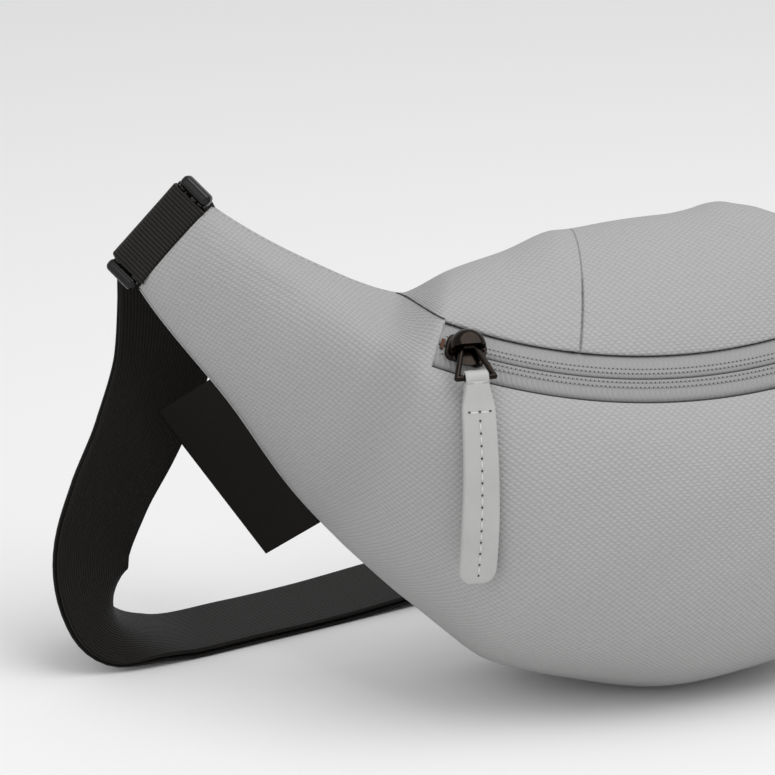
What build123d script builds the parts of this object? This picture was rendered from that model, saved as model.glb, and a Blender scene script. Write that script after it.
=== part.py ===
from build123d import *
import os, math
os.makedirs("parts", exist_ok=True)

# ------------------------------------------------------------------ sizes (mm)
ZIP_R = 190.0          # radius of the zip line
ZIP_TILT = 50.0        # tilt of the plane of the zip
ZIP_HALF = 9.0         # half width of the zip opening
ZIP_Y, ZIP_Z = -69.0, 118.2   # middle point of the zip line
T_ZIP, T_TIP, T_END = 26.2, 31.2, 55.0   # angles: zip end, top panel tip, wing end
CANVAS = 1.2           # canvas with its backing
LINING = 0.6
WEB_W = 38.0           # belt webbing width
END_W = 33.0           # webbing gathered in the wing rings
WEB_T = 1.5            # belt webbing thickness
PAD_T = 5.0
SLIDER_T = -23.4       # place of the slider on the zip line, degrees
SLIDER_END = 23.4
LEAN = 6.0             # how much fuller the right half of the pouch is
BAR_R = 1.7            # belt ring bar radius
RING_IN, RING_OUT = 3.7, 11.7   # ring bars, from the wing end outward
Y_SHIFT = -9.7         # puts the origin under the middle of the whole object

CS, SN = math.cos(math.radians(ZIP_TILT)), math.sin(math.radians(ZIP_TILT))
NZ = Vector(0, -SN, CS)
OZ = Vector(0, ZIP_Y + ZIP_R*CS, ZIP_Z + ZIP_R*SN)
Z0 = ZIP_Z - 110.0     # height of the section table above the floor

# ---------------------------------------------------- section of the bag by angle
P3 = (ZIP_Y - ZIP_HALF*CS, 110 - ZIP_HALF*SN)
P4 = (ZIP_Y + ZIP_HALF*CS, 110 + ZIP_HALF*SN)
TIP = (-14.5, 109.0)
ST = [0, 13, 20, T_ZIP, T_TIP, 42, T_END]
KEY = {
 'a': [P3, P3, P3, P3, (-50, 101), (-27, 96.5), (-26, 95.6)],
 'b': [(-101, 76), (-100, 78), (-96, 80), (-88, 86), (-66, 93), (-32, 87), (-26.4, 85)],
 'c': [(-91, -33), (-88, -26), (-70, 3), (-50, 19), (-31, 29), (-22, 52), (-27.6, 62.6)],
 'B': [(0, -3), (-2, 2), (-5, 10), (-8, 20), (-9, 29), (-11, 48.5), (-19.5, 61.3)],
 'd': [P4, P4, P4, P4, TIP, (-15.5, 104.8), (-20.3, 99.25)],
 'e': [(-52, 149), (-50, 147), (-49, 137), (-47, 126), TIP, (-15.5, 104.8), (-20.3, 99.25)],
 'f': [(-10, 163), (-10, 160), (-12, 146), (-15, 128), TIP, (-15.5, 104.8), (-20.3, 99.25)],
 'T': [(0, 138), (-2, 135), (-6, 127), (-11, 117), TIP, (-15.5, 104.8), (-20.3, 99.25)],
}


def hermite(x, xs, ys):
    n = len(xs)
    h = [xs[i+1]-xs[i] for i in range(n-1)]
    d = [(ys[i+1]-ys[i])/h[i] for i in range(n-1)]
    m = [0.0]*n
    for i in range(1, n-1):
        if d[i-1]*d[i] > 0:
            m[i] = 3*(h[i-1]+h[i])/((2*h[i]+h[i-1])/d[i-1]+(h[i]+2*h[i-1])/d[i])
    m[-1] = d[-1]
    i = 0
    while i < n-2 and x > xs[i+1]:
        i += 1
    u = (x-xs[i])/h[i]
    return ((2*u**3-3*u**2+1)*ys[i]+(u**3-2*u**2+u)*h[i]*m[i]
            + (-2*u**3+3*u**2)*ys[i+1]+(u**3-u**2)*h[i]*m[i+1])


def lean(t):
    a = abs(t)
    pk = 20 if t > 0 else 16
    g = LEAN*math.sin(math.radians(90*min(a/pk, 1)))*max(0, 1-max(a-pk, 0)/(T_TIP-pk))
    return g if t > 0 else -g


# how much the crest stands above or below a level one, along the bag
CREST_T = [-31.2, -26, -20, -12, -5, 0, 5, 8.5, 12, 15, 19, 23, 26.2, 31.2]
CREST_G = [0, 0.8, -1.7, -2.8, -1.3, -0.5, 0, 1.2, 3.4, 4.4, 4.6, 3.6, 3.4, 0]


def sec(t):
    k = {n: [hermite(abs(t), ST, [p[i] for p in v]) for i in (0, 1)] for n, v in KEY.items()}
    g = hermite(t, CREST_T, CREST_G) if abs(t) < T_TIP else 0.0
    k['e'][1] += g
    k['f'][1] += g
    k['T'][1] += 0.6*g
    k['c'][1] -= 0.8*lean(t)
    return k


def at(t, y, z):
    """point of the section plane turned by t degrees about the zip axis"""
    dy, dz = y-ZIP_Y, z-110.0
    rho, h = ZIP_R-(dy*CS+dz*SN), -dy*SN+dz*CS
    a = math.radians(t)
    er = Vector(math.sin(a), -math.cos(a)*CS, -math.cos(a)*SN)
    return OZ+er*rho+NZ*h


def offs(pts, d):
    """control polygon moved by d to its right hand side"""
    out = []
    n = len(pts)
    dirs = []
    for i in range(n-1):
        dy, dz = pts[i+1][0]-pts[i][0], pts[i+1][1]-pts[i][1]
        L = math.hypot(dy, dz)
        dirs.append((dy/L, dz/L) if L > 1e-6 else None)
    for i in range(n-1):
        if dirs[i] is None:
            dirs[i] = dirs[i-1] if i else dirs[i+1]
    for i in range(n):
        a = dirs[max(i-1, 0)]
        b = dirs[min(i, n-2)]
        na, nb = (a[1], -a[0]), (b[1], -b[0])
        s = (na[0]+nb[0], na[1]+nb[1])
        L2 = max(s[0]**2+s[1]**2, 0.4)
        out.append((pts[i][0]+2*d*s[0]/L2, pts[i][1]+2*d*s[1]/L2))
    return out


def strip(ts, curve, d0, d1, grow=0.0, after=None):
    """closed thin solid: curve(t) is a list of control polygons in a row;
    grow moves it further in toward the ends; after(t) is the point that the
    curve would go on to, so that its end is mitred like its neighbour's"""
    faces = []
    base = (d0, d1)
    for t in ts:
        d0, d1 = (d+grow*(t/23.0)**2 for d in base)
        segs = curve(t)
        flat = [segs[0][0]]+[p for s in segs for p in s[1:]]
        n = len(flat)
        ext = flat+[after(t)] if after else flat
        lo, hi = offs(ext, d0)[:n], offs(ext, d1)[:n]
        edges, i = [], 0
        for s in segs:
            n = len(s)-1
            edges.append(Bezier(*[at(t, *p) for p in lo[i:i+n+1]]))
            i += n
        edges.append(Line(at(t, *lo[-1]), at(t, *hi[-1])))
        back, i = [], 0
        for s in segs:
            n = len(s)-1
            back.append(Bezier(*[at(t, *p) for p in reversed(hi[i:i+n+1])]))
            i += n
        edges += back[::-1]
        edges.append(Line(at(t, *hi[0]), at(t, *lo[0])))
        faces.append(Face(Wire(edges)))
    return Solid.make_loft([f.outer_wire() for f in faces], ruled=True)


def c_front(t):
    k = sec(t)
    return [[k['B'], k['c'], k['b'], k['a']]]


def past_zip(t):
    k = sec(t)
    a, d = k['a'], k['d']
    return (a[0]*.67+d[0]*.33, a[1]*.67+d[1]*.33)


def c_wing(t):
    k = sec(t)
    a, d = k['a'], k['d']
    m1 = past_zip(t)
    m2 = (a[0]*.33+d[0]*.67, a[1]*.33+d[1]*.67)
    return [[k['B'], k['c'], k['b'], k['a']], [a, m1, m2, d]]


def c_top(t):
    k = sec(t)
    return [[k['d'], k['e'], k['f'], k['T']]]


def c_back(t):
    k = sec(t)
    B, T = k['B'], (k['T'] if abs(t) < T_TIP else k['d'])
    v = (T[0]-B[0], T[1]-B[1])
    q = 3.0*max(0, 1-abs(t)/T_END)
    return [[T, (T[0]-.33*v[0]+q, T[1]-.33*v[1]), (B[0]+.33*v[0]+q, B[1]+.33*v[1]), B]]


def cut_curve(fn, u0, u1):
    """part of a one-segment curve between two parameters"""
    def lerp(p, q, u):
        return (p[0]+(q[0]-p[0])*u, p[1]+(q[1]-p[1])*u)

    def g(t):
        p = fn(t)[0]

        def blossom(a, b, c):
            q = [lerp(p[i], p[i+1], a) for i in range(3)]
            q = [lerp(q[i], q[i+1], b) for i in range(2)]
            return lerp(q[0], q[1], c)
        return [[blossom(u0, u0, u0), blossom(u0, u0, u1), blossom(u0, u1, u1), blossom(u1, u1, u1)]]
    return g


BOX = [[1e9]*3, [-1e9]*3]


def save(name, shape):
    shape = Pos(0, Y_SHIFT, 0) * shape
    shape.label = name
    export_step(shape, f"parts/{name}.step")
    bb = shape.bounding_box()
    BOX[0] = [min(a, b) for a, b in zip(BOX[0], (bb.min.X, bb.min.Y, bb.min.Z))]
    BOX[1] = [max(a, b) for a, b in zip(BOX[1], (bb.max.X, bb.max.Y, bb.max.Z))]
    print(f"{name:22s} vol {shape.volume:10.1f}  z {bb.min.Z:7.2f} {bb.max.Z:7.2f}  valid {shape.is_valid}")


HALF = [3.25, 6.5, 9.75, 13, 16.5, 20, 23]
MID = [-T_ZIP]+[-x for x in HALF[::-1]]+[0]+HALF+[T_ZIP]
WNG = [T_ZIP, 27.4, 28.6, 29.9, T_TIP, 33.5, 36, 39, 42, 45, 48.5, 52, T_END]
ALL = [-x for x in WNG[::-1]]+MID[1:-1]+WNG

# ---------------------------------------------------------------- canvas panels
front = strip(MID, c_front, 0, CANVAS, after=past_zip)
save("front_panel", front)
save("wing_left", strip([-x for x in WNG], c_wing, 0, CANVAS))
save("wing_right", strip(WNG, c_wing, 0, CANVAS))

TOP = [-30.3, -29.9, -28.6, -27.4]+MID+[27.4, 28.6, 29.9, 30.3]
save("top_panel", strip(TOP, cut_curve(c_top, 0.012, 1.0), 0, CANVAS))
save("back_panel", strip(ALL, c_back, -0.5-CANVAS, -0.5, -0.09))
PAD = MID[1:-1]
save("back_pad", strip(PAD, cut_curve(c_back, 0.10, 0.88), -1.0-CANVAS-PAD_T, -1.0-CANVAS))
LIN = PAD
save("lining_front", strip(LIN, cut_curve(c_front, 0.06, 0.95), CANVAS+0.8, CANVAS+0.8+LINING, 1.6))
save("lining_top", strip(LIN, cut_curve(c_top, 0.10, 0.90), CANVAS+0.8, CANVAS+0.8+LINING, 1.6))
save("lining_back", strip(LIN, cut_curve(c_back, 0.05, 0.95), 0.5, 0.5+LINING))
POC = PAD[1:-1]
save("slip_pocket", strip(POC, cut_curve(c_back, 0.42, 0.88), 1.6, 2.4))
save("pocket_hem", strip(POC, cut_curve(c_back, 0.355, 0.41), 1.5, 2.7))

# ------------------------------------------------------------------- zip, by turning
ZP = Plane(origin=OZ, x_dir=Vector(0, -CS, -SN), z_dir=NZ)


def ring_seg(r0, r1, h0, h1, t0, t1):
    prof = Plane.XZ * Pos((r0+r1)/2, (h0+h1)/2) * Rectangle(r1-r0, h1-h0)
    s = revolve(prof, Axis.Z, t1-t0)
    return ZP.location * (Rot(0, 0, t0) * s)


TE = T_ZIP-0.2
save("zip_tape_upper", ring_seg(ZIP_R-ZIP_HALF+0.2, ZIP_R-0.9, -1.3, -0.4, -TE, TE))
save("zip_tape_lower", ring_seg(ZIP_R+0.9, ZIP_R+ZIP_HALF-0.2, -1.3, -0.4, -TE, TE))
save("zip_coil_upper", ring_seg(ZIP_R-3.1, ZIP_R-1.0, -3.1, -1.4, -TE+.3, TE-.3))
save("zip_coil_lower", ring_seg(ZIP_R+1.0, ZIP_R+3.1, -3.1, -1.4, -TE+.3, TE-.3))
save("zip_stop_left", ring_seg(ZIP_R-1.8, ZIP_R+1.8, -0.35, 0.75, -TE+.05, -TE+.42))
save("zip_stop_right", ring_seg(ZIP_R-1.8, ZIP_R+1.8, -0.35, 0.75, TE-.42, TE-.05))

# slider, in its own plane: x along the zip (to the right), y up the bag, z outward
sa = math.radians(SLIDER_T)
S_ER = Vector(math.sin(sa), -math.cos(sa)*CS, -math.cos(sa)*SN)
S_TT = Vector(math.cos(sa), math.sin(sa)*CS, math.sin(sa)*SN)
SP = Plane(origin=OZ+S_ER*ZIP_R, x_dir=S_TT, z_dir=NZ)
body = Pos(0, 0, 0.75) * Box(13.4, 9.0, 1.7)
body = fillet(body.edges().filter_by(Axis.Z), 2.6)
body = fillet(body.edges().group_by(Axis.Z)[-1], 0.6)
body += Pos(1.0, 0, -1.7) * Box(7.0, 0.8, 3.6)
low = Pos(0, 0, -4.1) * Box(12.0, 8.4, 1.2)
low = fillet(low.edges().filter_by(Axis.Z), 2.4)
body += low
save("slider_body", SP.location * body)

# domed cap that swivels on the slider, its own x along the bail pin
HANG = 22.5            # turn of the cap that lets the bail hang
PIN_H = 4.3
CP = SP.location * Rot(0, 0, HANG)
cap = Pos(0, 0, 4.85) * Cylinder(5.8, 5.9)
cap = fillet(cap.edges().group_by(Axis.Z)[-1], 3.2)
cap -= Pos(0, 0, 4.4) * Box(8.2, 3.4, 3.9)
cap -= Pos(0, -6.5, 4.4) * Box(14, 10.0, 3.9)
cap -= Pos(0, -6.0, 8.0) * Box(14, 11.0, 8.0)
save("slider_cap", CP * cap)


def rod(p, q, r):
    p, q = Vector(*p), Vector(*q)
    v = q-p
    pl = Plane(origin=p, z_dir=v)
    return pl.location * (Pos(0, 0, v.length/2) * Cylinder(r, v.length))


# bail, lying along -y of the cap plane, tilted about the pin
BT = -6.0              # the bail stands this much off the plane of the cap
BR = 0.95
BL = 11.6
pts = [(-2.2, 0, 0), (2.2, 0, 0), (6.3, -BL, 0), (-6.3, -BL, 0)]
bail = None
for i in range(4):
    r = rod(pts[i], pts[(i+1) % 4], BR)
    ball = Pos(*pts[i]) * Sphere(BR)
    bail = (r+ball) if bail is None else bail+r+ball
BP = CP * Pos(0, 0, PIN_H) * Rot(BT, 0, 0)
save("bail", BP * bail)

# leather tab on the lower bar of the bail: x across, -y down, z outward; it curves over the bag
TAB_DIP, TAB_BEND = 18.0, 36.0
TAB_W, TAB_L, TAB_T = 12.6, 69.2, 2.6
TL = BP * Pos(0, -BL, 0) * Rot(TAB_DIP-BT, 0, 0)
TK = math.radians(TAB_BEND)/TAB_L


def tab_at(s, n=0.0):
    """point of the side profile at length s, n out of the leather"""
    th = TK*s
    return (-math.sin(th)/TK - n*math.sin(th), -(1-math.cos(th))/TK + n*math.cos(th))


def tab_slab(s0, s1, n0, n1, width):
    m = (s0+s1)/2
    f = make_face(Wire([
        ThreePointArc((0, *tab_at(s0, n0)), (0, *tab_at(m, n0)), (0, *tab_at(s1, n0))),
        Line((0, *tab_at(s1, n0)), (0, *tab_at(s1, n1))),
        ThreePointArc((0, *tab_at(s1, n1)), (0, *tab_at(m, n1)), (0, *tab_at(s0, n1))),
        Line((0, *tab_at(s0, n1)), (0, *tab_at(s0, n0)))]))
    e = extrude(f, width/2, dir=(1, 0, 0), both=True)
    return e


y_end = tab_at(TAB_L)[0]
outline = Pos(0, (y_end-6.2)/2, 0) * Box(TAB_W, -6.2-y_end, 60)
outline = fillet(outline.edges().filter_by(Axis.Z).group_by(Axis.Y)[0], 4.6)
outline = chamfer(outline.edges().filter_by(Axis.Z).group_by(Axis.Y)[-1], 2.2)
outline += Pos(0, -3.6, 0) * Box(7.6, 5.6, 60)
blade = tab_slab(1.0, TAB_L, -TAB_T/2, TAB_T/2, TAB_W) & outline
eye = Cylinder(BR+0.3+1.1, 7.6, rotation=(0, 90, 0))
tab = (eye+blade) - Cylinder(BR+0.3, 16, rotation=(0, 90, 0))
save("pull_tab", TL * tab)
thread = tab_slab(10.6, 11.4, TAB_T/2+0.05, TAB_T/2+0.45, 6.4)
bits = list(thread.solids())
for i in range(13):
    bits += list(tab_slab(15.0+4.0*i, 16.8+4.0*i, TAB_T/2+0.05, TAB_T/2+0.45, 0.7).solids())
save("pull_thread", TL * Compound(children=bits))

# --------------------------------------------------------------- side tag
sa_, sb_ = -43.5, -29.5


def tag():
    A = at(sa_, *[sec(sa_)['B'][0], sec(sa_)['B'][1]])
    B = at(sb_, *[sec(sb_)['B'][0], sec(sb_)['B'][1]])
    u = (B-A).normalized()
    g = Vector(-0.546, 0.611, -0.572)
    g = (g-u*g.dot(u)).normalized()
    n = u.cross(g)
    pl = Plane(origin=(A+B)*0.5+g*(2.6+12.5)+n*0.0, x_dir=u, z_dir=n)
    return pl.location * Box(62.0, 25.0, 1.0)


save("side_tag", tag())

# ---------------------------------------------------------------- wing ends and rings
for side, nm in ((-1, "left"), (1, "right")):
    kb = sec(side*T_END)
    lo, hi = at(side*T_END, *kb['B']), at(side*T_END, *kb['d'])
    w = (hi-lo).normalized()
    a = math.radians(side*T_END)
    out = Vector(math.cos(a), math.sin(a)*CS, math.sin(a)*SN)*side
    out = (out-w*out.dot(w)).normalized()
    n = out.cross(w)*(1 if side < 0 else -1)      # to the back
    c0 = (lo+hi)*0.5-n*1.9
    # x outward, y along the bar, z to the back
    WP = Plane(origin=c0, x_dir=out, z_dir=n if side < 0 else n)
    r0, r1 = BAR_R+0.3, BAR_R+0.3+1.2
    L = END_W
    anch = Pos(RING_IN, 0, 0) * Cylinder(r1, L, rotation=(90, 0, 0))
    tail = Pos((RING_IN-14)/2, 0, 0) * Box(RING_IN+14, 24, 1.8)
    anch = anch+tail-Pos(RING_IN, 0, 0) * Cylinder(r0, L+2, rotation=(90, 0, 0))
    save(f"anchor_{nm}", WP.location * anch)
    ring = Pos(RING_IN, 0, 0) * Cylinder(BAR_R, END_W+3, rotation=(90, 0, 0))
    ring += Pos(RING_OUT, 0, 0) * Cylinder(BAR_R, END_W+3, rotation=(90, 0, 0))
    for s in (-1, 1):
        lobe = Pos((RING_IN+RING_OUT)/2, s*(END_W/2+2.9), 0) * Box(RING_OUT-RING_IN+2*BAR_R+1.0, 4.6, 5.2)
        ring += fillet(lobe.edges(), 1.9)
    save(f"ring_{nm}", WP.location * ring)
    # belt turn over the outer bar, both legs to the back
    q0, q1 = BAR_R+0.15, BAR_R+0.15+WEB_T
    turn = Cylinder(q1, L, rotation=(90, 0, 0)) - Cylinder(q0, L+2, rotation=(90, 0, 0))
    turn -= Pos(0, 0, 5) * Box(12, L+4, 10)
    for s in (-1, 1):
        turn += Pos(s*(q0+q1)/2, 0, 1.6) * Box(WEB_T, L, 3.2)
    save(f"belt_turn_{nm}", WP.location * (Pos(RING_OUT, 0, 0) * turn))
    if side < 0:
        L_C0, L_OUT, L_W, L_N = c0, out, w, n
    print(nm, "ring axis at", tuple(round(v, 3) for v in (c0+out*RING_IN)), "dir", tuple(round(v, 4) for v in w),
          "out", tuple(round(v, 4) for v in out), "back", tuple(round(v, 4) for v in n))

# ----------------------------------------------------------------------- belt
start = L_C0+L_OUT*RING_OUT+L_N*3.5
first = start+L_N*4.0
LOOP = [   # centre of the belt, direction across it
 ((start.X, start.Y, start.Z), (L_W.X, L_W.Y, L_W.Z)),
 ((first.X, first.Y, first.Z), (L_W.X, L_W.Y, L_W.Z)),
 ((-144.0, 59.0, 141.5), (0.80, -0.05, 0.45)),
 ((-143.5, 61.0, 122.0), (0.90, 0.08, 0.16)),
 ((-148.0, 57.5, 98.0), (0.93, 0.28, 0.0)),
 ((-158.5, 51.0, 76.0), (0.90, 0.42, 0.0)),
 ((-170.5, 44.0, 57.0), (0.85, 0.52, 0.0)),
 ((-178.6, 37.6, 39.0), (0.80, 0.60, 0.0)),
 ((-177.6, 35.5, 23.7), (0.72, 0.69, 0.0)),
 ((-169.5, 40.0, 10.0), (0.35, 0.94, 0.0)),
 ((-150.0, 46.0, 3.1), (0.0, 1.0, 0.0)),
 ((-120.0, 55.7, 1.95), (-0.28, 0.96, 0.0)),
 ((-90.0, 65.4, 1.95), (-0.308, 0.951, 0.0)),
 ((-48.0, 79.0, 3.9), (-0.27, 0.96, 0.0)),
 ((-36.0, 82.6, 4.2), (-0.12, 0.99, 0.0)),
 ((-25.0, 84.0, 4.2), (0.0, 1.0, 0.0)),
 ((0.0, 84.0, 4.2), (0.0, 1.0, 0.0)),
]
GAP = [2.6, 2.6, 2.0, 1.4]+[1.0]*13
BO = Vector(91.8, 64.8, 4.5)                       # mouth of the buckle
BD = Vector(102, -33, 0).normalized()              # its long direction
BY = Vector(-BD.Y, BD.X, 0)


def catmull(ps, step):
    """points and directions along a smooth line through the given points"""
    out = []
    n = len(ps)
    for i in range(n-1):
        p0 = ps[i-1] if i else ps[0]*2-ps[1]
        p1, p2 = ps[i], ps[i+1]
        p3 = ps[i+2] if i+2 < n else ps[n-1]*2-ps[n-2]
        d1, d2, d3 = (p1-p0).length**.5, (p2-p1).length**.5, (p3-p2).length**.5
        t1 = ((p1-p0)*(1/d1)-(p2-p0)*(1/(d1+d2))+(p2-p1)*(1/d2))*d2
        t2 = ((p2-p1)*(1/d2)-(p3-p1)*(1/(d2+d3))+(p3-p2)*(1/d3))*d2
        sub = max(1, round((p2-p1).length/step))
        for j in range(sub):
            u = j/sub
            q = p1*(2*u**3-3*u**2+1)+t1*(u**3-2*u**2+u)+p2*(-2*u**3+3*u**2)+t2*(u**3-u**2)
            g = p1*(6*u*u-6*u)+t1*(3*u*u-4*u+1)+p2*(-6*u*u+6*u)+t2*(3*u*u-2*u)
            out.append((i+u, q, g.normalized()))
    out.append((n-1, ps[-1], (t2).normalized()))
    return out


def ribbon(stations, offset, width=WEB_W-0.4, thick=WEB_T, step=7.0, side=1):
    """webbing along stations of (centre, across), moved by offset(s) to its outer face"""
    ps = [Vector(*c) for c, _ in stations]
    ws = [Vector(*w) for _, w in stations]
    wires = []
    for s, q, g in catmull(ps, step):
        i = min(int(s), len(ws)-2)
        u = s-i
        w = ws[i]*(1-u)+ws[i+1]*u
        w = (w-g*w.dot(g)).normalized()
        m = w.cross(g)*side
        c = q+m*offset(s)
        a, b = w*(width/2), m*(thick/2)
        wires.append(Wire.make_polygon([c-a-b, c+a-b, c+a+b, c-a+b], close=True))
    return Solid.make_loft(wires, ruled=True)


def gap(s):
    i = min(int(s), len(GAP)-2)
    return GAP[i]*(1-(s-i))+GAP[i+1]*(s-i)


def mir(st):
    return [((-c[0], c[1], c[2]), (-w[0], w[1], w[2])) for c, w in st]


RET = LOOP[:-1]+[((-9.5, 84.0, 4.2), (0.0, 1.0, 0.0))]
save("belt_return", ribbon(RET, lambda s: -gap(s)))
plug_end = BO-BD*18.7
near = BO-BD*30
MAIN = LOOP+mir(LOOP[13:16])[::-1]+[((near.X, near.Y, 3.3), (BY.X, BY.Y, 0)),
                                    ((plug_end.X, plug_end.Y, 3.1), (BY.X, BY.Y, 0))]
nl = len(LOOP)-1
save("belt_main", ribbon(MAIN, lambda s: gap(min(s, nl))))
soc = BO+BD*39.7
soc2 = BO+BD*52
SHORT = mir(LOOP[:11])+[((soc2.X, soc2.Y, 3.2), (BY.X, BY.Y, 0)), ((soc.X, soc.Y, 4.5), (BY.X, BY.Y, 0))]
SG = GAP[:11]+[1.5, 2.4]


def sgap(s):
    i = min(int(s), len(SG)-2)
    return SG[i]*(1-(s-i))+SG[i+1]*(s-i)


save("short_outer", ribbon(SHORT, sgap, side=-1))
save("short_inner", ribbon(SHORT, lambda s: -sgap(s), side=-1))

# ------------------------------------------------------------------ strap adjuster
GLY = 84.0
rail = Plane.XZ * make_face(Polyline((-12.7, 0.2), (12.7, 0.2), (12.7, 2.7), (4.6, 8.6), (-4.6, 8.6), (-12.7, 2.7), close=True))
rail = extrude(rail, 1.6, both=True)
glide = Pos(0, 21.2, 0)*rail + Pos(0, -21.2, 0)*rail
for x in (-11, 11):
    glide += Pos(x, 0, 1.15) * Box(3.4, 42.4, 1.9)
glide += Pos(0, 0, 6.7) * Box(4.0, 42.4, 2.0)
save("strap_adjuster", Pos(0, GLY, 0) * glide)
loop = Pos(0, 0, 6.7) * (Box(7.0, WEB_W-0.4, 4.8) - Box(4.2, WEB_W+2, 2.2))
loop = fillet(loop.edges().filter_by(Axis.Y).group_by(Axis.X)[0]+loop.edges().filter_by(Axis.Y).group_by(Axis.X)[-1], 1.2)
save("adjuster_loop", Pos(0, GLY, 0) * loop)

# ---------------------------------------------------------------- side release buckle
BL_ = Plane(origin=BO, x_dir=BD, z_dir=Vector(0, 0, 1)).location
SOCK_W, SOCK_H, SOCK_L = 44.0, 9.0, 33.2
sock = Pos(SOCK_L/2, 0, 0) * Box(SOCK_L, SOCK_W, SOCK_H)
sock = fillet(sock.edges().filter_by(Axis.X), 2.4)
sock -= Pos(14, 0, 0) * Box(30, 38.0, 5.8)
for s in (-1, 1):
    sock -= Pos(17.5, s*21, 0) * Box(13.0, 8, 5.8)
    sock += Pos(35.9, s*20.6, 0) * Box(6.0, 2.8, 6.0)
sock += Pos(37, 0, 0) * Cylinder(1.5, 41.2, rotation=(90, 0, 0))
save("buckle_socket", BL_ * sock)
plug = Pos(-6.2, 0, 0) * Box(11.6, 41.0, 7.2)
plug = fillet(plug.edges().filter_by(Axis.X), 2.0)
for s in (-1, 1):
    plug += Pos(-14.6, s*20.0, 0) * Box(5.6, 2.4, 5.0)
plug += Pos(-15.5, 0, 0) * Cylinder(1.5, 40.0, rotation=(90, 0, 0))
plug += Pos(12.0, 0, 0) * Box(25.0, 7.0, 4.2)
save("buckle_plug", BL_ * plug)
for s, nm in ((1, "back"), (-1, "front")):
    poly = [(.3, 10.5), (-.1, 12), (-.1, 13.1), (11.1, 15.0), (11.8, 21.0), (17.4, 20.5), (22.0, 16.2), (22.8, 12.9), (18.8, 11.5)]
    f = make_face(Polyline(*[(x, s*y) for x, y in poly], close=True))
    save(f"latch_{nm}", BL_ * Pos(0, 0, -2.3) * extrude(f, 4.6, dir=(0, 0, 1)))
for x, nm, s in ((-15.5, "plug_loop", -1), (37, "socket_loop", 1)):
    # webbing round the bar, open toward the strap
    lp = Cylinder(3.15, WEB_W-0.4, rotation=(90, 0, 0)) - Cylinder(1.65, WEB_W+2, rotation=(90, 0, 0))
    lp -= Pos(s*5, 0, 0) * Box(10, WEB_W+2, 10)
    if s < 0:
        lp += Pos(-1.25, 0, -2.4) * Box(2.5, WEB_W-0.4, WEB_T)
        leg = Box(20, WEB_W-0.4, WEB_T)
        lp += Rot(0, -7.6, 0) * (Pos(-8.9, 0, 2.42) * leg)
    else:
        for z in (-2.4, 2.4):
            lp += Pos(1.0, 0, z) * Box(2.0, WEB_W-0.4, WEB_T)
    save(nm, BL_ * Pos(x, 0, 0) * lp)

print("slider axis", tuple(round(v, 3) for v in OZ), tuple(round(v, 4) for v in NZ))
for nm, loc, ax in (("cap", CP, (0, 0, 1)), ("bail", BP, (1, 0, 0)), ("tab", TL, (1, 0, 0)), ("buckle", BL_, (1, 0, 0))):
    o = (loc * Pos(0, 0, 0)).position
    e = (loc * Pos(*ax)).position-o
    print(nm, tuple(round(v, 3) for v in o), tuple(round(v, 4) for v in e))
for nm, p in (("latch_back", (0.5, 12, 0)), ("latch_front", (0.5, -12, 0))):
    print(nm, tuple(round(v, 3) for v in (BL_ * Pos(*p)).position))
print("box", BOX)
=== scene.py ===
"""Hip bag with a webbing belt: what is seen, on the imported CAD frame.

Lengths below are in mm and go to metres in M()."""
import math

import bmesh
import bpy
import numpy as np
from mathutils import Matrix, Vector


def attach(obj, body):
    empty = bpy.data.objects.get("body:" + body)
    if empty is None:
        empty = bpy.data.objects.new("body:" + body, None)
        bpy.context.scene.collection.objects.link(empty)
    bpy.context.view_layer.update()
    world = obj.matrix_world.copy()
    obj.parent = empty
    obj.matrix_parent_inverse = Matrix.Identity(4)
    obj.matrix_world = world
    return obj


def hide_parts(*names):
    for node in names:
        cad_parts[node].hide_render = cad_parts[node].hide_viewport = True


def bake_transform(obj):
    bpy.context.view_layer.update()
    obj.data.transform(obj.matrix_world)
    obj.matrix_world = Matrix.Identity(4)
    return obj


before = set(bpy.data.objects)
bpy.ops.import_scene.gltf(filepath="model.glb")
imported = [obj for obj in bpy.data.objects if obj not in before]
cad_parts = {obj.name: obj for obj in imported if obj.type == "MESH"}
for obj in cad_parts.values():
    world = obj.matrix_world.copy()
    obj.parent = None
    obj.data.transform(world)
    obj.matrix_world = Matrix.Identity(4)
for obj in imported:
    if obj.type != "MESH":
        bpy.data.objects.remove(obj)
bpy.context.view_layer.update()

# ------------------------------------------------------------------ dimensions
Y_SHIFT = -9.7
ZIP_R, ZIP_TILT, ZIP_HALF = 190.0, 50.0, 9.0
ZIP_Y, ZIP_Z = -69.0, 118.2
T_ZIP, T_TIP, T_END = 26.2, 31.2, 55.0
WEB_W, WEB_T = 37.6, 1.5
END_W = 33.0            # webbing gathered in the wing rings
RING_IN, RING_OUT, BAR_R = 3.7, 11.7, 1.7
CS, SN = math.cos(math.radians(ZIP_TILT)), math.sin(math.radians(ZIP_TILT))
NZ = np.array((0.0, -SN, CS))
OZ = np.array((0.0, ZIP_Y + ZIP_R * CS, ZIP_Z + ZIP_R * SN))
P3 = (ZIP_Y - ZIP_HALF * CS, 110 - ZIP_HALF * SN)
P4 = (ZIP_Y + ZIP_HALF * CS, 110 + ZIP_HALF * SN)
TIP = (-14.5, 109.0)
ST = [0, 13, 20, T_ZIP, T_TIP, 42, T_END]
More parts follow.
